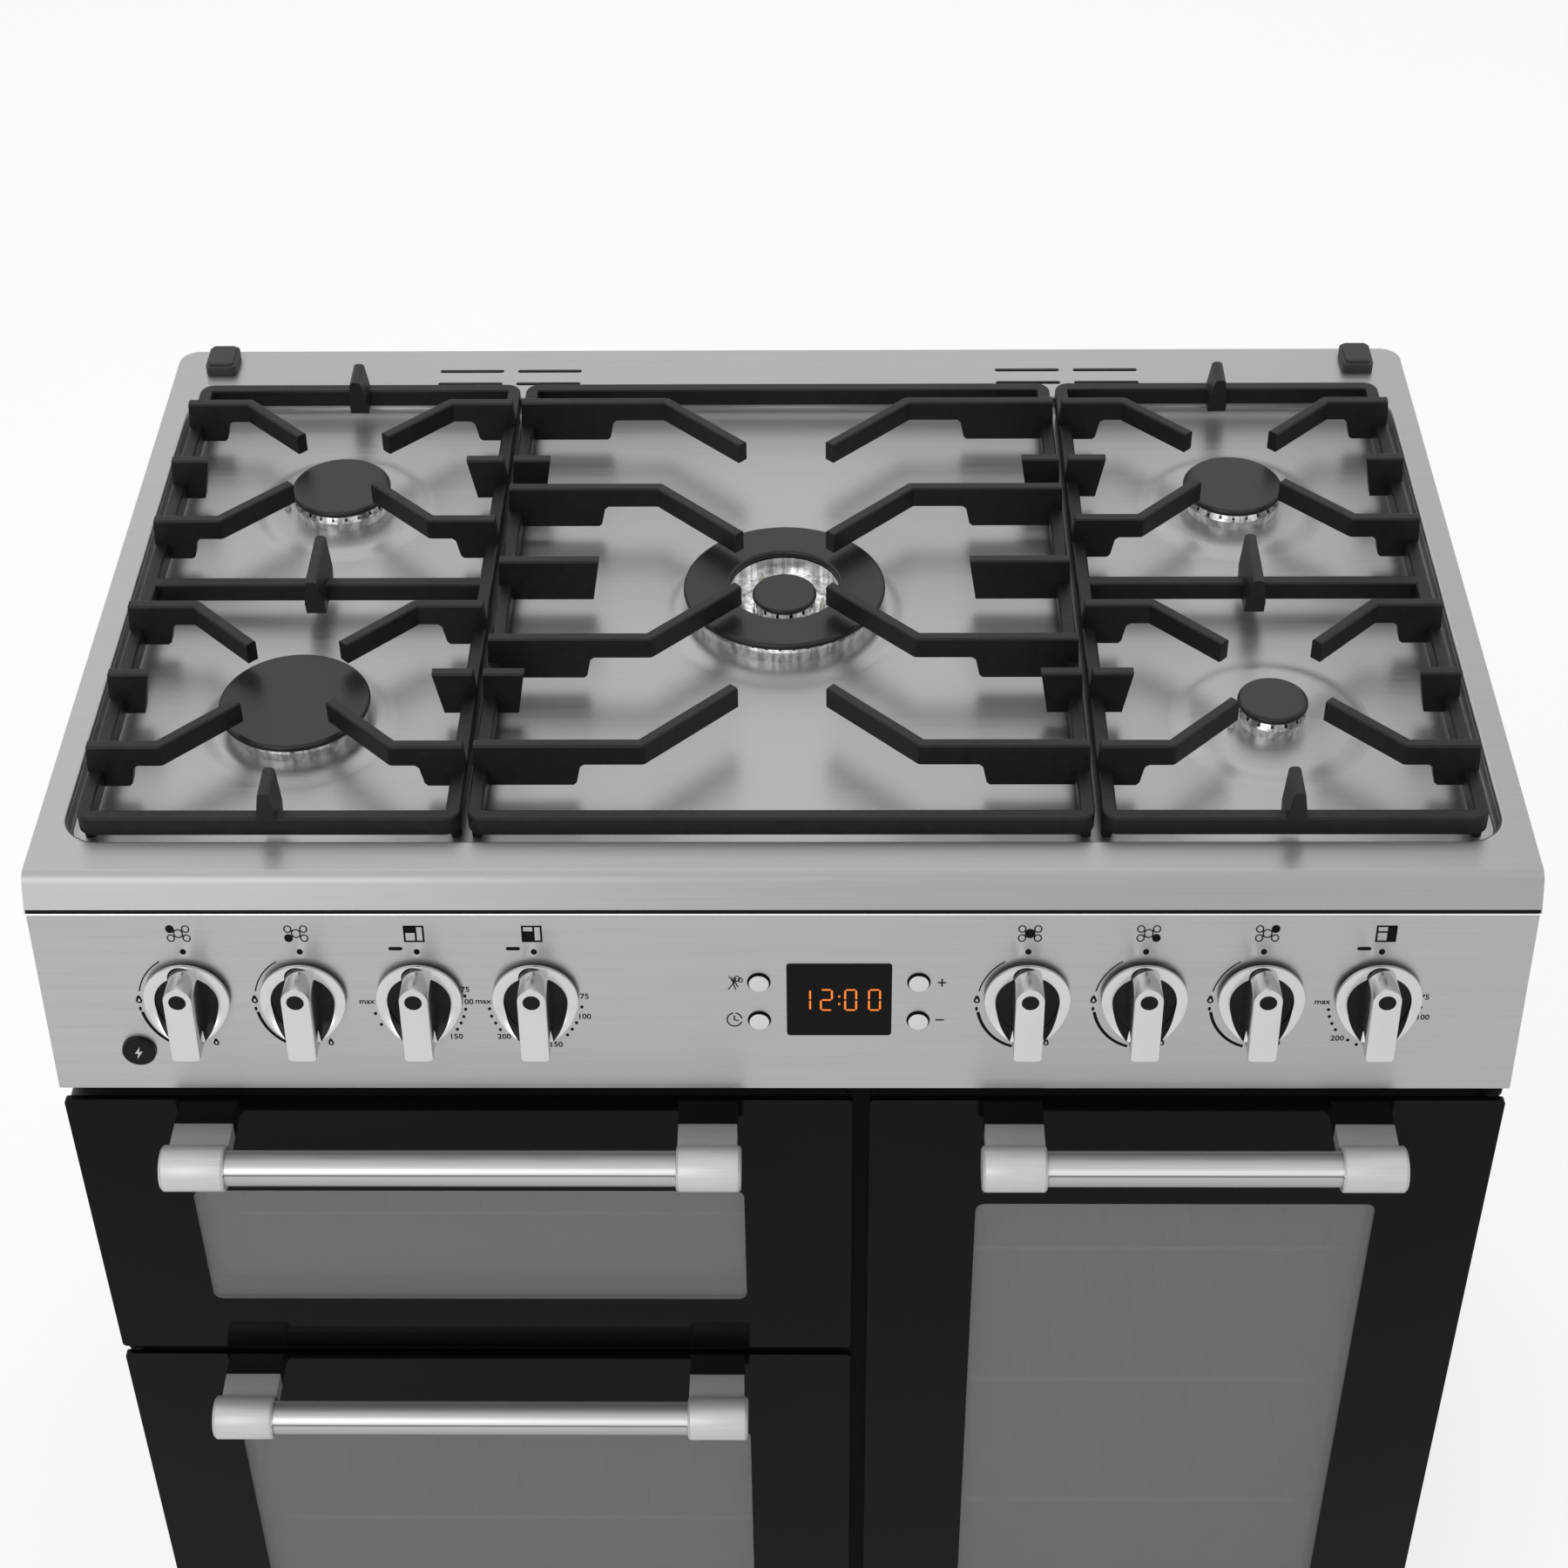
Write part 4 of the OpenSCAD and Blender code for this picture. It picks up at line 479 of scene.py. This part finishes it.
GLOSS_BLACK = coated("gloss_black", shade(0.005), 0.16, speckle=0.08, scale=200.0, bump=0.01,
                     Specular_IOR_Level=0.14)
DOT_BLACK = coated("matt_black", shade(0.008), 0.5, speckle=0.08, scale=500.0, Specular_IOR_Level=0.12)
KNOB_CHROME = polished("knob_chrome", 0.62, 0.24)
ARM = brushed_bar("satin_arm", 0.60, 0.46, 0.25)
BAR = {door: bar_painted_reflection("painted_bar_reflection_" + door, HANDLE_Y, ends[2]) for door, ends in HANDLES.items()}
# Paler than the panel steel: a painted highlight for the bead on the panel's top edge
BEAD_PAINTED_HIGHLIGHT = polished("bead_painted_highlight", 0.85, 0.35)
WHITE_INK = coated("white_ink", shade(0.75), 0.5, speckle=0.03)
DISPLAY_GLASS = coated("display_glass", shade(0.006), 0.08, speckle=0.05, scale=60.0, bump=0.0,
                       Specular_IOR_Level=0.08)
WIRE = metal("shelf_wire", 0.6, 0.16)
LIT = coated("lit_orange", (1.0, 0.22, 0.02), 0.5, speckle=0.06)
lit = LIT.node_tree.nodes["Principled BSDF"].inputs
lit["Emission Color"].default_value = (1.0, 0.24, 0.02, 1)
lit["Emission Strength"].default_value = 0.55

FINISH = {
    "base_frame": ZINC, "adjustable_feet": BLACK_PLASTIC, "plinth": BLACK_ENAMEL, "side_panel_left": CASING,
    "side_panel_right": CASING, "rear_panel": ZINC, "front_frame": FRAME_BLACK, "top_oven_liner": OVEN_ENAMEL,
    "main_oven_liner": OVEN_ENAMEL, "tall_oven_liner": OVEN_ENAMEL, "door_seals": RUBBER, "oven_shelves": WIRE,
    "grill_element": ZINC, "fan_motors": ZINC, "fan_covers": OVEN_ENAMEL, "main_fan": ZINC, "tall_fan": ZINC,
    "hob_top": STEEL, "rear_buffers": RUBBER, "burner_bodies": ALLOY, "burner_heads": ALLOY,
    "burner_caps": CAP_ENAMEL, "igniters": CERAMIC, "gas_manifold": ZINC, "gas_taps": BRASS,
    "control_panel": STEEL_PANEL, "timer_module": GREY_PLASTIC, "timer_window": DISPLAY_GLASS,
    "oven_controls": GREY_PLASTIC, "mains_box": GREY_PLASTIC, "ignition_button": GLOSS_BLACK,
    "top_door_glass": door_pane("top_pane", (-379, -25.5, 542, 648)),
    "main_door_glass": door_pane("main_pane", (-379, -25.5, 150, 400)),
    "tall_door_glass": door_pane("tall_pane", (123.3, 379, 150, 636)),
}
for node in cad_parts:
    if node.startswith("pan_support"):
        FINISH[node] = CASTING
    elif node.startswith("spindle"):
        FINISH[node] = BRASS
    elif node.startswith(("knob", "timer_button")):
        FINISH[node] = SATIN
    elif node.endswith("_panel") and "door" in node:
        FINISH[node] = BLACK_ENAMEL
    elif node.endswith("_handle"):
        FINISH[node] = SLEEVE
for node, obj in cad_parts.items():
    obj.data.materials.clear()
    obj.data.materials.append(FINISH[node])

# Knobs, handles and buffers: the CAD shapes with their sharp edges rounded
for name in KNOBS:
    eased("knob_" + name, KNOB_CHROME, "knob_" + name, "chrome", 0.6)
for door, (x0, x1, _) in HANDLES.items():
    handle = eased(door + "_handle", SLEEVE, door, "chrome", 0.6)
    handle.data.materials.append(BAR[door])
    handle.data.materials.append(ARM)
    for face in handle.data.polygons:
        at = face.center / MM
        if at.y > HANDLE_Y + ARM_FROM:
            face.material_index = 2
        elif x0 + SLEEVE_L < at.x < x1 - SLEEVE_L:
            face.material_index = 1
eased("rear_buffers", RUBBER, "cooker", "rubber", 0.8)


def skirt_h(down):
    """Height of a knob's swept face above the panel, at a distance below the knob's axis."""
    rise = SKIRT_HIGH - SKIRT_LOW
    run = KNOB_D / 2 + SWEEP_START
    sweep = (run * run + rise * rise) / (2 * rise)
    past = max(0.0, down + SWEEP_START)
    return KNOB_GAP + SKIRT_LOW + sweep - math.sqrt(sweep * sweep - past * past)


DISH_ROWS, DISH_STEPS = 14, 72


def dish(x):
    """The black lining of a knob's sunk middle: a closed shell over its floor and up its wall."""
    bm = bmesh.new()
    radius = KNOB_D / 2 - SKIRT_RIM - 0.06
    shells = []
    for lift, shrink in ((-0.25, 0.0), (0.08, 0.22)):
        rows = []
        for k in range(DISH_ROWS + 1):
            r = (radius - shrink) * min(1.0, k / (DISH_ROWS - 1) + 0.002)
            row = []
            for i in range(DISH_STEPS):
                a = 2 * math.pi * i / DISH_STEPS
                dx, dd = r * math.sin(a), r * math.cos(a) + SINK_SHIFT
                h = skirt_h(dd) - 0.12 if k == DISH_ROWS else skirt_h(dd) - SINK + lift
                row.append(bm.verts.new(on_panel(x + dx, KNOB_DOWN + dd, h)))
            rows.append(row)
        for a, b in zip(rows, rows[1:]):
            join_rows(bm, a, b)
        bm.faces.new(rows[0])
        shells.append(rows)
    join_rows(bm, shells[0][-1], shells[1][-1])
    return smooth_mesh(bm, "dish")


# The inlay's corner at the recess and its point by the heel (degrees from the heel), the point, and its bulge
TIP_FROM, TIP_TO, TIP_X, TIP_DOWN, TIP_BOW = 78.0, 27.0, 10.3, 24.0, 1.5
TIP_STEPS, TIP_COLUMNS = 14, 3


def recess_tips(x):
    """Black inlay either side of the grip that carries the recess on to two points near the heel."""
    bm = bmesh.new()
    recess = KNOB_D / 2 - SKIRT_RIM

    def at(side, r, degrees):
        return Vector((side * r * math.sin(math.radians(degrees)), SINK_SHIFT + r * math.cos(math.radians(degrees))))

    for side in (-1, 1):
        start, tip = at(side, recess, TIP_FROM), Vector((side * TIP_X, TIP_DOWN))
        grid = []
        for k in range(TIP_STEPS + 1):
            t = k / TIP_STEPS
            near = at(side, recess - 0.5, TIP_FROM + (TIP_TO - TIP_FROM) * t)
            bow = 4 * t * (1 - t) * TIP_BOW
            far = start.lerp(tip, t) + Vector((side * bow, bow))
            spots = [near.lerp(far, s / TIP_COLUMNS) for s in range(TIP_COLUMNS + 1)]
            grid.append([[bm.verts.new(on_panel(x + p.x, KNOB_DOWN + p.y, skirt_h(p.y) + h)) for h in (-0.05, 0.07)]
                         for p in spots])
        for a, b in zip(grid, grid[1:]):
            for s in range(TIP_COLUMNS):
                for lay in (0, 1):
                    bm.faces.new((a[s][lay], b[s][lay], b[s + 1][lay], a[s + 1][lay]))
            for s in (0, TIP_COLUMNS):
                bm.faces.new((a[s][0], b[s][0], b[s][1], a[s][1]))
        for line in (grid[0], grid[-1]):
            for p, q in zip(line, line[1:]):
                bm.faces.new((p[0], q[0], q[1], p[1]))
    bmesh.ops.remove_doubles(bm, verts=bm.verts, dist=1e-6)
    return smooth_mesh(bm, "tips")


def grip_end_shadow(x):
    """Outline of a thin black crescent on the skirt round one side of the grip's round end: a painted shadow."""
    inner = GRIP_W / 2 + 0.1
    turns = [math.radians(a) for a in range(-100, 36, 8)]
    span = turns[-1] - turns[0]

    def at(t, r):
        return (x + r * math.sin(t), GRIP_END - r * math.cos(t))

    return ([at(t, inner) for t in turns]
            + [at(t, inner + 1.7 * math.sin((t - turns[0]) / span * math.pi)) for t in turns[-2:0:-1]])


for name, x in KNOBS.items():
    knob = "knob_" + name
    add_piece(knob + "_dish", dish(x), GLOSS_BLACK, knob, "black_plastic")
    add_piece(knob + "_tips", recess_tips(x), GLOSS_BLACK, knob, "black_plastic")
    # Painted shadow: a thin black crescent on the skirt round the grip's end
    ring = Print(lambda px, pd, ph: on_panel(px, pd, KNOB_GAP + SKIRT_LOW + ph), -0.05, 0.08)
    ring.poly(grip_end_shadow(x))
    ring.finish(knob + "_groove", GLOSS_BLACK, knob, "black_plastic")
    pointer = Print(lambda px, pd, ph: on_panel(px, pd, GRIP_H + ph), -0.05, 0.12)
    pointer.oval(x, GRIP_END + 0.6, 5.25, 5.25, 40)
    pointer.finish(knob + "_pointer", DOT_BLACK, knob, "black_plastic")


BUTTON_R, BUTTON_PROUD, BUTTON_EASE, BUTTON_STEPS = 6.05, 2.1, 0.25, 64
THROAT_R = (6.15, 7.15)


def turned_button(name, x, down):
    """A push button turned from bar, with a rounded rim, standing in the panel's hole."""
    bm = bmesh.new()
    shoulder, level = BUTTON_R - BUTTON_EASE, BUTTON_PROUD - BUTTON_EASE
    profile = [(BUTTON_R, -1.6), (BUTTON_R, level)]
    profile += [(shoulder + BUTTON_EASE * math.cos(t), level + BUTTON_EASE * math.sin(t))
                for t in (math.radians(v) for v in (30, 60, 90))]
    profile.append((0.25, BUTTON_PROUD + 0.02))
    turns = [2 * math.pi * i / BUTTON_STEPS for i in range(BUTTON_STEPS)]
    rows = [[bm.verts.new(on_panel(x + r * math.sin(t), down + r * math.cos(t), h)) for t in turns]
            for r, h in profile]
    for a, b in zip(rows, rows[1:]):
        join_rows(bm, a, b)
    bm.faces.new(rows[0])
    bm.faces.new(rows[-1])
    return smooth_mesh(bm, name)


OUT_OF_PANEL = Vector((0.0, -math.cos(LEAN), math.sin(LEAN)))
for name, (x, down) in BUTTONS.items():
    node = "timer_button_" + name
    cap = add_piece(node + "_cap", turned_button(node, x, down), KNOB_CHROME, node, "chrome", node)
    # Painted shade: the button's side wall is black ink, for the dark crescent in the hole round it
    cap.data.materials.append(INK)
    for face in cap.data.polygons:
        if face.normal.dot(OUT_OF_PANEL) < 0.5:
            face.material_index = 1
    # Painted shade: a black ring in the gap between the button and its hole
    throat = Print(on_panel, -0.7, 0.05)
    throat.ring(x, down, *THROAT_R)
    throat.finish(node + "_throat", INK, "cooker", "black_plastic")

# Folded hem along the panel's foot, the bead along its top edge, and a black strip along the foot of the hob lip
# over the bead, a painted shadow of the gap between them
HEM_TOP, HEM_FOOT, HEM_R = 126.6, 134.3, 0.9
long_strip("panel_hem", on_panel,
           [(HEM_TOP, 0.0)] + [(HEM_FOOT - HEM_R + HEM_R * math.sin(t), -HEM_R + HEM_R * math.cos(t))
                               for t in (math.radians(v) for v in range(0, 181, 30))] + [(HEM_TOP, -2 * HEM_R)],
           449.0, STEEL_PANEL, "stainless")
# A plated bead along the panel's top edge whose extra brightness is a painted highlight
long_strip("panel_top_bead", lambda x, y, z: Vector((x, y, z)) * MM,
           [(-263.9 + math.cos(t), 876.05 + math.sin(t)) for t in (math.radians(v) for v in range(0, 360, 30))],
           448.6, BEAD_PAINTED_HIGHLIGHT, "chrome")
SLOPE = math.atan2(LIP_LEAD, LIP_DROP)


def on_lip(x, up, out):
    """A point of the hob's front lip in metres: up its slope from the foot, out of its face."""
    return Vector((x, PANEL_TOP_Y + up * math.sin(SLOPE) - out * math.cos(SLOPE),
                   LIP_FOOT_Z + up * math.cos(SLOPE) + out * math.sin(SLOPE))) * MM


# Painted shadow: a black strip along the foot of the hob's lip
long_strip("hob_lip_painted_shadow", on_lip, ((0.05, -0.3), (0.05, 0.1), (2.3, 0.1), (2.45, -0.3)), 449.2, INK, "rubber")

# Printed scales; the photo shows upright marks taller than the lean would, so they are drawn so
marks = Print(on_panel)
ICON_DOWN = 13.0
TALL = 1.16
RINGS = ((-4.7, -3.4), (4.7, -3.4), (-4.7, 3.4), (4.7, 3.4))
FILLED = {"rear_left": 0, "rear_right": 1, "front_left": 2, "front_right": 3}


def burner_icon(x, name):
    """Four burners and the middle one, with the knob's own burner solid."""
    for k, (dx, dd) in enumerate(RINGS):
        if FILLED.get(name) == k:
            marks.oval(x + dx, ICON_DOWN + dd, 2.6, 2.6 * TALL)
        else:
            marks.band(x + dx, ICON_DOWN + dd, 2.08, 2.08 * TALL, 0.82)
        marks.line((x + dx * 0.46, ICON_DOWN + dd * 0.56), (x + dx * 0.66, ICON_DOWN + dd * 0.72), 1.1)
    if name == "wok":
        marks.oval(x, ICON_DOWN, 3.2, 3.5)
    else:
        marks.band(x, ICON_DOWN, 2.6, 2.95, 0.8)


def oven_icon(x, name):
    """Three oven doors seen from the front, with the knob's own oven solid."""
    left, right, top, foot, w = x - 6.2, x + 6.2, 7.0, 19.4, 1.2
    split, level = x + 0.5, 11.3
    for x0, x1, d0, d1 in ((left, right, top, top + w), (left, right, foot - w, foot), (left, left + w, top, foot),
                           (right - w, right, top, foot), (split, split + w, top, foot),
                           (left, split, level, level + w)):
        marks.box(x0, x1, d0, d1)
    fill = {"top_oven": (left + 0.4, split + 0.3, top + 0.4, level + 0.6),
            "main_oven": (left + 0.4, split + 0.3, level + 0.4, foot - 0.4),
            "tall_oven": (split + 0.4, right - 0.2, top + 0.4, foot - 0.4)}[name]
    marks.box(*fill)


def flame(x, down, size):
    """A drop with an open middle."""
    marks.poly(drop(x, down, size), [drop(x, down + size * 0.1, size * 0.42)])


def drop(x, down, size):
    pts = []
    for k in range(24):
        a = 2 * math.pi * k / 24
        r = 0.62 * size * (1 + 0.62 * max(0.0, math.cos(a)) ** 3)
        pts.append((x + r * math.sin(a) * (1 - 0.35 * max(0.0, math.cos(a))), down - r * math.cos(a) * 1.15))
    return pts


ARC_DOWN, ARC_A, ARC_B = 65.7, 30.0, 35.6
for name, x in KNOBS.items():
    marks.oval(x * 0.9967, 26.8, 1.85, 2.15)
    if name in GAS_KNOBS:
        burner_icon(x, name)
        marks.band(x, ARC_DOWN, ARC_A, ARC_B, 0.85, 284, 332)
        marks.band(x, ARC_DOWN, ARC_A, ARC_B, 2.0, 195, 258)
        flame(x - 30.2, 64.0, 3.3)
        marks.oval(x - 30.2, 70.6, 0.9, 1.6, 16)
        flame(x + 13.0, 97.4, 2.9)
    else:
        oven_icon(x, name)
        marks.stadium(x - 11.9, 24.4, 8.6, 2.6)

# Figures and dots of the three oven scales, as (text or None for a dot, x, down)
SCALES = (
    ("75", -191.2, 55.8), (None, -191.8, 60.8), ("100", -191.0, 65.4), (None, -192.0, 71.0), (None, -193.5, 76.8),
    (None, -195.5, 81.9), (None, -198.2, 86.8), ("150", -199.3, 92.6), (None, -247.2, 74.4), (None, -244.3, 83.0),
    ("max", -251.7, 65.0),
    ("75", -119.2, 61.1), (None, -121.2, 69.3), ("100", -120.0, 76.8), (None, -125.0, 81.6), (None, -127.9, 86.7),
    (None, -131.0, 91.2), ("150", -138.4, 98.8), ("max", -181.0, 64.9), (None, -177.4, 70.7), (None, -176.5, 76.5),
    (None, -174.4, 81.9), (None, -171.8, 87.1), ("200", -169.8, 92.6),
    ("max", 327.0, 65.1), (None, 331.3, 71.2), (None, 332.3, 76.6), (None, 334.4, 82.1), (None, 337.0, 86.9),
    ("200", 338.8, 93.8), (None, 345.3, 95.1), (None, 350.9, 98.6), ("75", 388.5, 61.7), (None, 386.8, 69.5),
    ("100", 388.8, 77.3),
)
for words, x, down in SCALES:
    if words is None:
        marks.oval(x, down, 1.05, 1.2, 14)
    else:
        marks.text(words, x, down, 5.6)

# Timer symbols: a whisk over a bowl, a clock, plus and minus
for k in range(4):
    marks.line((-31.6 + 1.5 * k, 45.4 + 0.5 * k), (-28.4, 51.0), 0.6)
marks.band(-26.6, 47.4, 1.5, 1.9, 0.75)
marks.band(-24.6, 48.4, 1.3, 1.6, 0.65)
marks.line((-32.0, 55.6), (-28.4, 50.2), 0.75)
marks.line((-27.4, 55.6), (-29.2, 50.2), 0.75)
marks.line((-26.2, 53.8), (-27.6, 50.0), 0.75)
marks.band(-28.6, 79.1, 4.5, 5.1, 0.9, 8, 80)
marks.band(-28.6, 79.1, 4.5, 5.1, 0.9, 108, 352)
marks.line((-28.7, 79.4), (-28.7, 76.0), 0.9)
marks.line((-28.9, 79.2), (-26.2, 79.9), 0.9)
marks.box(94.4, 99.5, 49.9, 50.95)
marks.box(96.45, 97.45, 47.4, 53.4)
marks.box(93.5, 98.8, 78.8, 79.85)
marks.finish("panel_marks", INK, "cooker", "black_plastic")

# Display digits
SEGMENTS = {"0": "abcdef", "1": "bc", "2": "abged"}
digits = Print(lambda x, d, h: on_panel(x, d, 0.6 + h), -0.03, 0.05)
DIGIT_W, DIGIT_H, DIGIT_TOP, STROKE = 6.7, 15.6, 55.5, 1.15


def segment_digit(char, x):
    half = DIGIT_H / 2
    s = STROKE / 2
    gap = 0.35
    ends = {"a": (0, 0, 1, 0), "g": (0, half, 1, half), "d": (0, DIGIT_H, 1, DIGIT_H), "b": (1, 0, 1, half),
            "c": (1, half, 1, DIGIT_H), "f": (0, 0, 0, half), "e": (0, half, 0, DIGIT_H)}
    for key in SEGMENTS[char]:
        x0, d0, x1, d1 = ends[key]
        ax, ad = x + x0 * DIGIT_W, DIGIT_TOP + d0
        bx, bd = x + x1 * DIGIT_W, DIGIT_TOP + d1
        if d0 == d1:
            digits.poly([(ax + gap, ad), (ax + gap + s, ad - s), (bx - gap - s, ad - s), (bx - gap, ad),
                         (bx - gap - s, ad + s), (ax + gap + s, ad + s)])
        else:
            digits.poly([(ax, ad + gap), (ax + s, ad + gap + s), (ax + s, bd - gap - s), (ax, bd - gap),
                         (ax - s, bd - gap - s), (ax - s, ad + gap + s)])


for char, x in (("1", 10.7), ("2", 23.9), ("0", 38.6), ("0", 53.0)):
    segment_digit(char, x)
for down in (60.6, 66.4):
    digits.box(34.4, 35.6, down - 0.7, down + 0.7)
digits.finish("display_digits", LIT, "cooker", "black_plastic")

# Spark symbol on the ignition button
spark = Print(lambda x, d, h: on_panel(x, d, 3.5 + h), -0.02, 0.08)
SPARK_X, SPARK_DOWN = -395.0, 102.8
spark.poly([(SPARK_X + dx, SPARK_DOWN + dd) for dx, dd in
            ((1.2, -4.6), (-2.4, 0.6), (-0.3, 0.6), (-1.4, 4.8), (2.6, -0.9), (0.5, -0.9))])
spark.finish("spark_symbol", WHITE_INK, "ignition_button", "ceramic")


def seen_directly(nodes, links):
    """1 for camera, glossy and transmission rays, else 0."""
    path = nodes.new("ShaderNodeLightPath")
    value = path.outputs["Is Camera Ray"]
    for kind in ("Is Glossy Ray", "Is Transmission Ray"):
        either = nodes.new("ShaderNodeMath")
        either.operation = "MAXIMUM"
        links.new(value, either.inputs[0])
        links.new(path.outputs[kind], either.inputs[1])
        value = either.outputs[0]
    return value


def set_studio():
    """A white world and a white floor that keeps the cooker's shadow."""
    scene = bpy.context.scene
    scene.view_settings.view_transform = "Standard"
    world = bpy.data.worlds.new("studio")
    scene.world = world
    world.use_nodes = True
    nodes, links = world.node_tree.nodes, world.node_tree.links
    back = nodes["Background"]
    back.inputs["Color"].default_value = (1, 1, 1, 1)
    strength = nodes.new("ShaderNodeMapRange")
    strength.inputs["To Min"].default_value = 0.55
    strength.inputs["To Max"].default_value = 1.0
    links.new(seen_directly(nodes, links), strength.inputs["Value"])
    links.new(strength.outputs[0], back.inputs["Strength"])

    mesh = bpy.data.meshes.new("floor")
    size = 9.0
    mesh.from_pydata([(-size, -size, 0), (size, -size, 0), (size, size, 0), (-size, size, 0)], [], [(0, 1, 2, 3)])
    floor = bpy.data.objects.new("floor", mesh)
    scene.collection.objects.link(floor)
    mat = bpy.data.materials.new("floor_white")
    mat.use_nodes = True
    nodes, links = mat.node_tree.nodes, mat.node_tree.links
    nodes.remove(nodes["Principled BSDF"])
    plain = nodes.new("ShaderNodeBsdfDiffuse")
    plain.inputs["Color"].default_value = (0.6, 0.6, 0.6, 1)
    glow = nodes.new("ShaderNodeEmission")
    share = nodes.new("ShaderNodeMath")
    share.operation = "MULTIPLY"
    share.inputs[1].default_value = 0.60
    links.new(seen_directly(nodes, links), share.inputs[0])
    links.new(share.outputs[0], glow.inputs["Strength"])
    both = nodes.new("ShaderNodeAddShader")
    links.new(plain.outputs[0], both.inputs[0])
    links.new(glow.outputs[0], both.inputs[1])
    links.new(both.outputs[0], nodes["Material Output"].inputs["Surface"])
    mesh.materials.append(mat)


def softbox(name, at, aim, size, watts):
    data = bpy.data.lights.new(name, "AREA")
    data.shape, data.size, data.size_y, data.energy = "RECTANGLE", size[0], size[1], watts
    obj = bpy.data.objects.new(name, data)
    obj.location = at
    obj.rotation_euler = (Vector(aim) - Vector(at)).to_track_quat("-Z", "Y").to_euler()
    bpy.context.scene.collection.objects.link(obj)


set_studio()
softbox("overhead", (-0.3, 1.5, 2.9), (0, 0, 0.9), (2.6, 1.2), 7)
softbox("front_fill", (-1.2, -2.6, 2.2), (0, 0, 0.7), (1.6, 1.6), 16)
